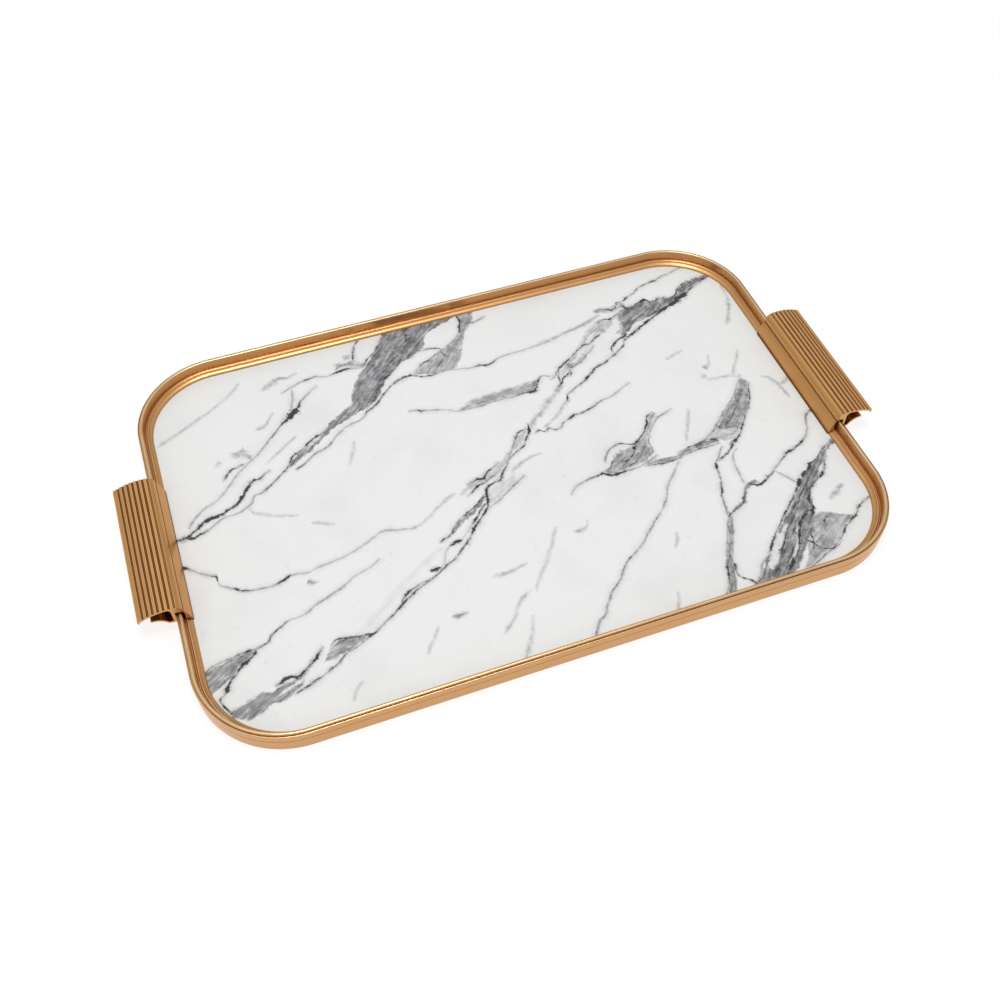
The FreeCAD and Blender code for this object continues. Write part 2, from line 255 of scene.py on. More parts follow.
def pride(points, normals):
    """How far each point of an outline stands proud and faces up, from 0 to about 0.5."""
    arcs = arc_lengths(points)
    loop = points + points[:1]

    def place(length):
        return Vector([np.interp(length, arcs, [p[axis] for p in loop], period=arcs[-1]) for axis in (0, 1)])

    values = []
    for here, point, normal in zip(arcs, points, normals):
        middle = (place(here - HIGHLIGHT_AND_WEAR_REACH) + place(here + HIGHLIGHT_AND_WEAR_REACH)) / 2
        rise = (point - middle).dot(normal) / HIGHLIGHT_AND_WEAR_REACH
        values.append(max(rise, 0.0) * max(normal.y, 0.0))
    return values


def bead_round():
    return (RIM.wall - RIM.shoulder - RIM.groove) / 2


def rim_steps(height, panel_top):
    """The rim's section, as (x outwards from its outer face, height, bend)."""
    bead = bead_round()
    groove_side = RIM.shoulder + RIM.groove
    steps = (
        (RIM.foot_round, 0, -RIM.foot_round),
        (RIM.lip_inset, 0),
        (RIM.lip_inset, RIM.lip),
        (RIM.slot, RIM.lip),
        (RIM.slot, panel_top),
        (RIM.ledge, panel_top),
        (RIM.nose, RIM.nose_height, -RIM.nose_round),
        (RIM.crest + RIM.crest_width, RIM.crest_height, RIM.slope_round),
        (RIM.crest, RIM.crest_height, -RIM.crest_round),
        (RIM.wall, RIM.crest_height, (RIM.crest - RIM.wall) / 2),
        (RIM.wall, height - bead),
        (groove_side, height - bead, -bead),
        (groove_side, RIM.groove_floor),
        (RIM.shoulder, RIM.groove_floor),
        (RIM.shoulder, RIM.shoulder_top),
        (0, RIM.shoulder_top - RIM.shoulder, -RIM.shoulder),
        (0, RIM.waist + RIM.waist_half),
        (RIM.waist_depth, RIM.waist),
        (0, RIM.waist - RIM.waist_half),
        (0, RIM.foot_round),
    )
    return [(-step[0],) + tuple(step[1:]) for step in steps]


def hollow_steps():
    """The hollow in the rim's wall."""
    near, far = -RIM.skin, -RIM.skin - RIM.hollow
    floor, roof = RIM.hollow_floor, RIM.hollow_roof
    return [(near, floor), (near, roof), (far, roof), (far, floor)]


def circle_height(radius, top, place):
    """Height of the wing's circle, or one under it, above a place."""
    offset = place - GRIP.wing_centre
    return top - radius + math.sqrt(radius * radius - offset * offset)


def circle_middle(start, end, radius):
    """Centre of the circle that leaves start for end and bulges to the right."""
    chord = end - start
    way = chord.normalized()
    reach = math.sqrt(radius * radius - chord.length_squared / 4)
    return (start + end) / 2 + Vector((-way.y, way.x)) * reach


def groove_side(middle, radius, centre, side):
    """One rounded edge of a groove cut in a circle: where it leaves the circle and meets the groove."""
    groove, edge = GRIP.rib_groove, GRIP.rib_round
    inner, outer = radius - edge, groove + edge
    spread = math.acos((radius * radius + inner * inner - outer * outer) / (2 * radius * inner))
    arm = centre - middle
    angle = math.atan2(arm.x, arm.y) + side * spread
    way = Vector((math.sin(angle), math.cos(angle)))
    round_centre = middle + way * inner
    return middle + way * radius, centre + (round_centre - centre) * (groove / outer)


def rib_steps(top, crease):
    """The wing's ribbed top from its outermost groove to the innermost, which meets the round band."""
    groove, edge = GRIP.rib_groove, GRIP.rib_round
    wing_middle = Vector((GRIP.wing_centre, top - GRIP.wing_radius))
    steps = []
    for index in reversed(range(GRIP.rib_grooves)):
        place = GRIP.rib_first + GRIP.rib_pitch * index
        centre = Vector((place, circle_height(GRIP.wing_radius, top, place)))
        on_wing, on_groove = groove_side(wing_middle, GRIP.wing_radius, centre, 1)
        steps.append((*on_wing, GRIP.wing_radius))
        steps.append((*on_groove, edge))
        middle, radius = wing_middle, GRIP.wing_radius
        if index == 0:
            middle, radius = circle_middle(centre, crease, GRIP.saddle_round), GRIP.saddle_round
        on_top, on_groove = groove_side(middle, radius, centre, -1)
        steps.append((*on_groove, -groove))
        steps.append((*on_top, edge))
    return steps


def grip_steps(reach, top, panel_top):
    """The handle's section, as (distance out from the rim's face, height, bend), from the leg's foot."""
    bead_centre = bead_round() - RIM.wall
    roof_radius = GRIP.leg_inside + bead_centre
    clear = RIM.crest_height + 4 * GRIP.gap
    under_radius = GRIP.wing_radius - GRIP.thickness
    under_top = top - GRIP.thickness
    inside = reach - GRIP.tip_width
    shoulder = reach - GRIP.tip_round
    flange_under = GRIP.flange_radius - GRIP.flange_thickness
    under_root_height = GRIP.flange_root - GRIP.flange_thickness
    middle = GRIP.flange_top - GRIP.flange_radius
    upper_root = GRIP.flange - math.sqrt(GRIP.flange_radius ** 2 - (GRIP.flange_root - middle) ** 2)
    under_root = GRIP.flange - math.sqrt(flange_under ** 2 - (under_root_height - middle) ** 2)
    catch = RIM.waist_half / 2
    steps = [
        (-GRIP.leg_foot, panel_top),
        (-RIM.ledge - GRIP.gap, panel_top),
        (-RIM.ledge, RIM.nose_height - 3 * GRIP.gap),
        (-RIM.crest - RIM.crest_width, clear),
        (-GRIP.leg_inside, clear + RIM.crest_round),
        (-GRIP.leg_inside, GRIP.roof - roof_radius),
        (bead_centre, GRIP.roof, -roof_radius),
        (GRIP.gap, GRIP.roof),
        (GRIP.gap, RIM.waist + catch),
        (GRIP.gap - RIM.waist_depth, RIM.waist),
        (GRIP.gap, RIM.waist - catch),
        (GRIP.gap, GRIP.web_bottom),
        (GRIP.web, GRIP.web_bottom),
        (under_root, under_root_height),
        (GRIP.flange, GRIP.flange_top - GRIP.flange_thickness, -flange_under),
        (GRIP.flange, GRIP.flange_top, GRIP.flange_thickness / 2),
        (upper_root, GRIP.flange_root, GRIP.flange_radius),
        (GRIP.web, GRIP.flange_root),
        (GRIP.web, GRIP.root_height),
        (GRIP.root, circle_height(under_radius, under_top, GRIP.root), -GRIP.root_round),
        (inside, circle_height(under_radius, under_top, inside), -under_radius),
        (inside, GRIP.tip_bottom),
        (reach, GRIP.tip_bottom, GRIP.tip_width / 2),
        (reach, circle_height(GRIP.wing_radius, top, shoulder) - GRIP.tip_round),
        (shoulder, circle_height(GRIP.wing_radius, top, shoulder), GRIP.tip_round),
    ]
    crease = Vector((-GRIP.neck, GRIP.neck_height))
    steps += rib_steps(top, crease)
    foot = Vector((-GRIP.leg_foot, panel_top + GRIP.gap))
    last_rib = Vector(steps[-1][:2])
    bead_arc = [last_rib] + arc_through(last_rib, crease, GRIP.saddle_round)
    leg_arc = [crease] + arc_through(crease, foot, GRIP.leg_round)
    bead_end = edge_of_circle(bead_arc, crease, GRIP.neck_groove)
    leg_start = edge_of_circle(leg_arc[::-1], crease, GRIP.neck_groove)
    steps.append((*bead_end, GRIP.saddle_round))
    steps.append((*leg_start, -GRIP.neck_groove))
    steps.append((*foot, GRIP.leg_round))
    return steps


def edge_of_circle(way, centre, radius):
    """Where a way that ends at the centre of a circle enters that circle."""
    for index in range(len(way) - 1):
        start, end = way[index], way[index + 1]
        near, far = (start - centre).length, (end - centre).length
        if near >= radius > far:
            return start.lerp(end, (near - radius) / (near - far))
    return way[-1]


# Meshes

def section_ring(mesh, points, place):
    """Add one ring of vertices, each point of the section put in its place."""
    return [mesh.verts.new(place(point)) for point in points]


def join_rings(mesh, rings, lengths, arcs, uv, slopes):
    """Skin between rings, flat where the section shrinks. The UV map holds millimetres along and round it."""
    count = len(rings[0])
    for index in range(len(rings) - 1):
        for side in range(count):
            after = (side + 1) % count
            corners = (
                (rings[index][side], lengths[index], arcs[side]),
                (rings[index + 1][side], lengths[index + 1], arcs[side]),
                (rings[index + 1][after], lengths[index + 1], arcs[side + 1]),
                (rings[index][after], lengths[index], arcs[side + 1]),
            )
            face = mesh.faces.new([corner[0] for corner in corners])
            face.smooth = not slopes[index]
            for loop, corner in zip(face.loops, corners):
                loop[uv].uv = (corner[1], corner[2])


def cap_ring(mesh, edge_rings, uv, material):
    """Close the end of one or more nested rings with flat faces."""
    edges = []
    for ring in edge_rings:
        for index, vertex in enumerate(ring):
            edges.append(mesh.edges.get((ring[index - 1], vertex)))
    made = bmesh.ops.triangle_fill(mesh, use_beauty=True, use_dissolve=False, edges=edges)
    for face in made["geom"]:
        if isinstance(face, bmesh.types.BMFace):
            face.material_index = material
            face.smooth = False
            for loop in face.loops:
                loop[uv].uv = (loop.vert.co.x / MM, loop.vert.co.z / MM)


def arc_lengths(points):
    """Distance round a closed outline at each point, and at its end."""
    total = [0.0]
    for index, point in enumerate(points):
        following = points[(index + 1) % len(points)]
        total.append(total[-1] + (following - point).length)
    return total


def inset(points, normals, amount):
    return [point - normal * amount for point, normal in zip(points, normals)]


def finish_mesh(name, mesh, ring_normals, materials):
    """Make the object, with the section's own normals, and shelter and pride at each vertex."""
    bmesh.ops.recalc_face_normals(mesh, faces=mesh.faces)
    data = bpy.data.meshes.new(name)
    mesh.to_mesh(data)
    mesh.free()
    for place, attribute in ((1, "shelter"), (2, "pride")):
        values = data.attributes.new(attribute, "FLOAT", "POINT")
        values.data.foreach_set("value", [entry[place] for entry in ring_normals])
    loops = []
    for face in data.polygons:
        for index in face.vertices:
            loops.append(ring_normals[index][0] if face.use_smooth else face.normal)
    data.normals_split_custom_set(loops)
    for material in materials:
        data.materials.append(material)
    piece = bpy.data.objects.new(name, data)
    bpy.context.scene.collection.objects.link(piece)
    return piece


def sweep_section(name, outlines, panel, stations, materials):
    """Sweep one or more nested outlines through stations, as rim_station gives them, and close both ends."""
    mesh = bmesh.new()
    uv = mesh.loops.layers.uv.new(UV)
    ring_normals = []
    first_rings, last_rings = [], []
    shrinks = [station[1] for station in stations]
    slopes = [before != after for before, after in zip(shrinks, shrinks[1:])]
    for level, points in enumerate(outlines):
        normals = outward_normals(points)
        closed = shelter(points, normals, panel)
        proud = pride(points, normals)
        if level:
            normals = [-normal for normal in normals]
            closed = [1.0] * len(points)
            proud = [0.0] * len(points)
        arcs = arc_lengths(points)
        rings = []
        for length, shrink, place, turn in stations:
            ring = section_ring(mesh, inset(points, normals, shrink), place)
            rings.append(ring)
            ring_normals.extend(zip(map(turn, normals), closed, proud))
        join_rings(mesh, rings, [station[0] for station in stations], arcs, uv, slopes)
        first_rings.append(rings[0])
        last_rings.append(rings[-1])
    cap_ring(mesh, first_rings, uv, 1)
    cap_ring(mesh, last_rings, uv, 1)
    return finish_mesh(name, mesh, ring_normals, materials)


def rim_station(length, shrink, corner, out, along=0.0):
    """A station: length so far, inset, and functions that place a section's point and turn its normal.

    The section's outward way is out, from a corner's spot, shifted along by some way across it.
    """
    across = Vector((-out.y, out.x, 0))

    def place(point):
        spot = corner + out * point.x + across * along
        return Vector((spot.x, spot.y, point.y)) * MM

    def turn(normal):
        return Vector((out.x * normal.x, out.y * normal.x, normal.y))

    return length, shrink, place, turn


def rim_stations(half_length, half_width):
    """Stations round the back half of the rim, from the right joint to the left one."""
    radius = RIM.radius
    straight = half_width - radius
    stations = []
    east, west = Vector((1, 0, 0)), Vector((-1, 0, 0))
    edge = Vector((half_length, 0, 0))
    for shrink, y in ((END_CHAMFER, 0.0), (0.0, END_CHAMFER), (0.0, END_SUPPORT)):
        stations.append(rim_station(y, shrink, edge, east, y))
    centre = Vector((half_length - radius, straight, 0))
    length = straight
    for index in range(BEND_STEPS + 1):
        angle = math.pi / 2 * index / BEND_STEPS
        out = Vector((math.cos(angle), math.sin(angle), 0))
        stations.append(rim_station(length + radius * angle, 0.0, centre + out * radius, out))
    length += radius * math.pi / 2 + 2 * (half_length - radius)
    centre = Vector((radius - half_length, straight, 0))
    for index in range(BEND_STEPS + 1):
        angle = math.pi / 2 * index / BEND_STEPS
        out = Vector((-math.sin(angle), math.cos(angle), 0))
        stations.append(rim_station(length + radius * angle, 0.0, centre + out * radius, out))
    length += radius * math.pi / 2 + straight
    for shrink, y in ((0.0, END_SUPPORT), (0.0, END_CHAMFER), (END_CHAMFER, 0.0)):
        stations.append(rim_station(length - y, shrink, -edge, west, -y))
    return stations


def straight_stations(half_length, half_width):
    """Stations along a handle at the right end, from its front end to its back end."""
    stations = []
    for y, shrink in (
        (-half_width, END_CHAMFER),
        (-half_width + END_CHAMFER, 0.0),
        (-half_width + END_SUPPORT, 0.0),
        (half_width - END_SUPPORT, 0.0),
        (half_width - END_CHAMFER, 0.0),
        (half_width, END_CHAMFER),
    ):
        stations.append(rim_station(y, shrink, Vector((half_length, 0, 0)), Vector((1, 0, 0)), y))
    return stations


def stand_for(piece, node, turned):
    """Let a piece stand for a CAD node, turned to the left end or front if need be."""
    if turned:
        piece.data.transform(Matrix.Rotation(math.pi, 4, "Z"))
    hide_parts(node)
    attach(piece, "root")


# Materials

class Net:
    """Short calls for building one node tree."""

    def __init__(self, tree):
        self.tree = tree
        tree.nodes.clear()

    def add(self, kind, values=None, **settings):
        node = self.tree.nodes.new("ShaderNode" + kind)
        for key, value in settings.items():
            setattr(node, key, value)
        for key, value in (values or {}).items():
            self.put(node.inputs[key], value)
        return node

    def put(self, socket, value):
        if isinstance(value, bpy.types.NodeSocket):
            self.tree.links.new(value, socket)
        elif isinstance(value, bpy.types.Node):
            self.tree.links.new(value.outputs[0], socket)
        else:
            socket.default_value = value

    def math(self, operation, first, second=0.0, third=0.0, clamp=False):
        node = self.add("Math", {0: first, 1: second, 2: third}, operation=operation, use_clamp=clamp)
        return node.outputs[0]

    def vector(self, operation, first, second=None, scale=None):
        node = self.add("VectorMath", {0: first}, operation=operation)
        if second is not None:
            self.put(node.inputs[1], second)
        if scale is not None:
            self.put(node.inputs["Scale"], scale)
        return node.outputs[0]

    def noise(self, place, scale, detail=2.0, roughness=0.5, distortion=0.0):
        return self.add("TexNoise", {
            "Vector": place,
            "Scale": scale,
            "Detail": detail,
            "Roughness": roughness,
            "Distortion": distortion,
        })

    def fit(self, value, low, high, to_low, to_high, smooth=False):
        """Map low to high onto to_low to to_high, and hold the ends."""
        kind = "SMOOTHSTEP" if smooth else "LINEAR"
        values = {"Value": value, "From Min": low, "From Max": high, "To Min": to_low, "To Max": to_high}
        return self.add("MapRange", values, interpolation_type=kind).outputs[0]

    def ramp(self, value, stops):
        node = self.add("ValToRGB", {0: value})
        elements = node.color_ramp.elements
        while len(elements) < len(stops):
            elements.new(0.5)
        for element, (place, colour) in zip(elements, stops):
            element.position = place
            element.color = colour
        return node.outputs[0]

    def mix(self, factor, first, second):
        node = self.add("Mix", data_type="RGBA")
        self.put(node.inputs["Factor"], factor)
        self.put(node.inputs[6], first)
        self.put(node.inputs[7], second)
        return node.outputs[2]

    def output(self, shader):
        self.add("OutputMaterial", {"Surface": shader.outputs[0]})


def linear(red, green, blue):
    """A colour given in sRGB steps of 255, as linear light."""
    steps = [value / 255 for value in (red, green, blue)]
    return tuple(s / 12.92 if s <= 0.04045 else ((s + 0.055) / 1.055) ** 2.4 for s in steps) + (1.0,)


# Golds: the two tones of each anodised face and of the sawn ends, and the pale gold of a painted highlight on
# proud edges, partly also rubbed wear.
RIM_GOLD = (linear(197, 145, 88), linear(205, 154, 98))
HANDLE_GOLD = (linear(206, 150, 87), linear(213, 160, 98))
SAWN_GOLD = (linear(204, 150, 98), linear(219, 172, 122))
HIGHLIGHT_AND_WORN_GOLD = linear(230, 200, 156)
EDGE_GLINT = (1.0, 0.86, 0.68, 1.0)
# Share of the base colour left in sheltered grooves and recesses: painted shade.
PAINTED_SHADE_SHARE = (0.26, 0.15, 0.08, 1.0)

# The print, from its white ground to its black cracks.
MARBLE_TONES = (
    (0.0, linear(219, 220, 219)),
    (0.2, linear(191, 192, 192)),
    (0.45, linear(147, 147, 149)),
    (0.7, linear(102, 102, 105)),
    (1.0, linear(40, 40, 44)),
)


def new_material(name):
    material = bpy.data.materials.new(name)
    material.use_nodes = True
    return material, Net(material.node_tree)


def curve_of(net, position, spots):
    """A curve through (position, height) spots, both from 0 to 1."""
    node = net.add("FloatCurve", {"Value": position})
    node.mapping.use_clip = False
    line = node.mapping.curves[0]
    line.points[0].location = spots[0]
    line.points[-1].location = spots[-1]
    for spot in spots[1:-1]:
        line.points.new(*spot)
    for point in line.points:
        point.handle_type = "AUTO_CLAMPED"
    node.mapping.extend = "HORIZONTAL"
    node.mapping.update()
    return node.outputs[0]


class Lane:
    """Coordinates along and across a straight axis, both scaled to run from 0 to 1."""

    def __init__(self, net, place, points, start, end):
        self.start = Vector(start)
        along = Vector(end) - self.start
        self.length = along.length
        self.way = along.normalized()
        self.side = Vector((-self.way.y, self.way.x))
        furthest = max(abs((Vector(p[:2]) - self.start).dot(self.side)) for p in points)
        self.span = 2.2 * max(furthest, 2.0)
        self.along = self.reading(net, place, self.way, self.length, 0.0)
        self.across = self.reading(net, place, self.side, self.span, 0.5)

    def reading(self, net, place, way, size, at_start):
        """How far the place, whose third number is 1, lies one way from the start, in shares of a size."""
        row = (way.x / size, way.y / size, at_start - self.start.dot(way) / size)
        return net.add("VectorMath", {0: place, 1: row}, operation="DOT_PRODUCT").outputs["Value"]

    def spot(self, point):
        """A point's own coordinates in the lane."""
        arm = Vector(point[:2]) - self.start
        return arm.dot(self.way) / self.length, arm.dot(self.side) / self.span + 0.5


def stroke(net, place, points, fray):
    """A line through (x, y, half-width) points: how far inside its edge a place lies, less than 0 outside."""
    lane = Lane(net, place, points, points[0][:2], points[-1][:2])
    spots = [lane.spot(point) for point in points]
    reach = END_REACH / lane.length
    widths = [(-reach, -END_DROP / lane.span)]
    for index, point in enumerate(points):
        before = spots[max(index - 1, 0)]
        after = spots[min(index + 1, len(spots) - 1)]
        run = max((after[0] - before[0]) * lane.length, SHORTEST_RUN)
        slope = (after[1] - before[1]) * lane.span / run
        lean = min(math.sqrt(1 + slope * slope), MOST_LEAN)
        widths.append((spots[index][0], point[2] * lean / lane.span))
    widths.append((1 + reach, -END_DROP / lane.span))
    offset = net.math("SUBTRACT", lane.across, curve_of(net, lane.along, spots))
    width = net.math("MULTIPLY", curve_of(net, lane.along, widths), fray)
    depth = net.math("SUBTRACT", width, net.math("ABSOLUTE", offset))
    return net.math("MULTIPLY", depth, lane.span)


def patch(net, place, upper, lower, soft, ragged):
    """The area between two edges that run the same way, from 0 outside it to 1 inside, and its bearing."""
    start = (Vector(upper[0]) + Vector(lower[0])) / 2
    end = (Vector(upper[-1]) + Vector(lower[-1])) / 2
    lane = Lane(net, place, upper + lower, start, end)
    upper_spots = [lane.spot(point) for point in upper]
    lower_spots = [lane.spot(point) for point in lower]
    reach, drop = END_REACH / lane.length, END_DROP / lane.span
    upper_spots.insert(0, (min(upper_spots[0][0], lower_spots[0][0]) - reach, lower_spots[0][1] - drop))
    upper_spots.append((max(upper_spots[-1][0], lower_spots[-1][0]) + reach, lower_spots[-1][1] - drop))
    high = net.math("SUBTRACT", curve_of(net, lane.along, upper_spots), lane.across)
    low = net.math("SUBTRACT", lane.across, curve_of(net, lane.along, lower_spots))
    depth = net.math("MULTIPLY_ADD", net.math("MINIMUM", high, low), lane.span, ragged)
    return net.math("DIVIDE", depth, soft, clamp=True), math.atan2(lane.way.y, lane.way.x)


# The printed marble: every point is (x, y) or (x, y, half-width) on the panel, in millimetres.

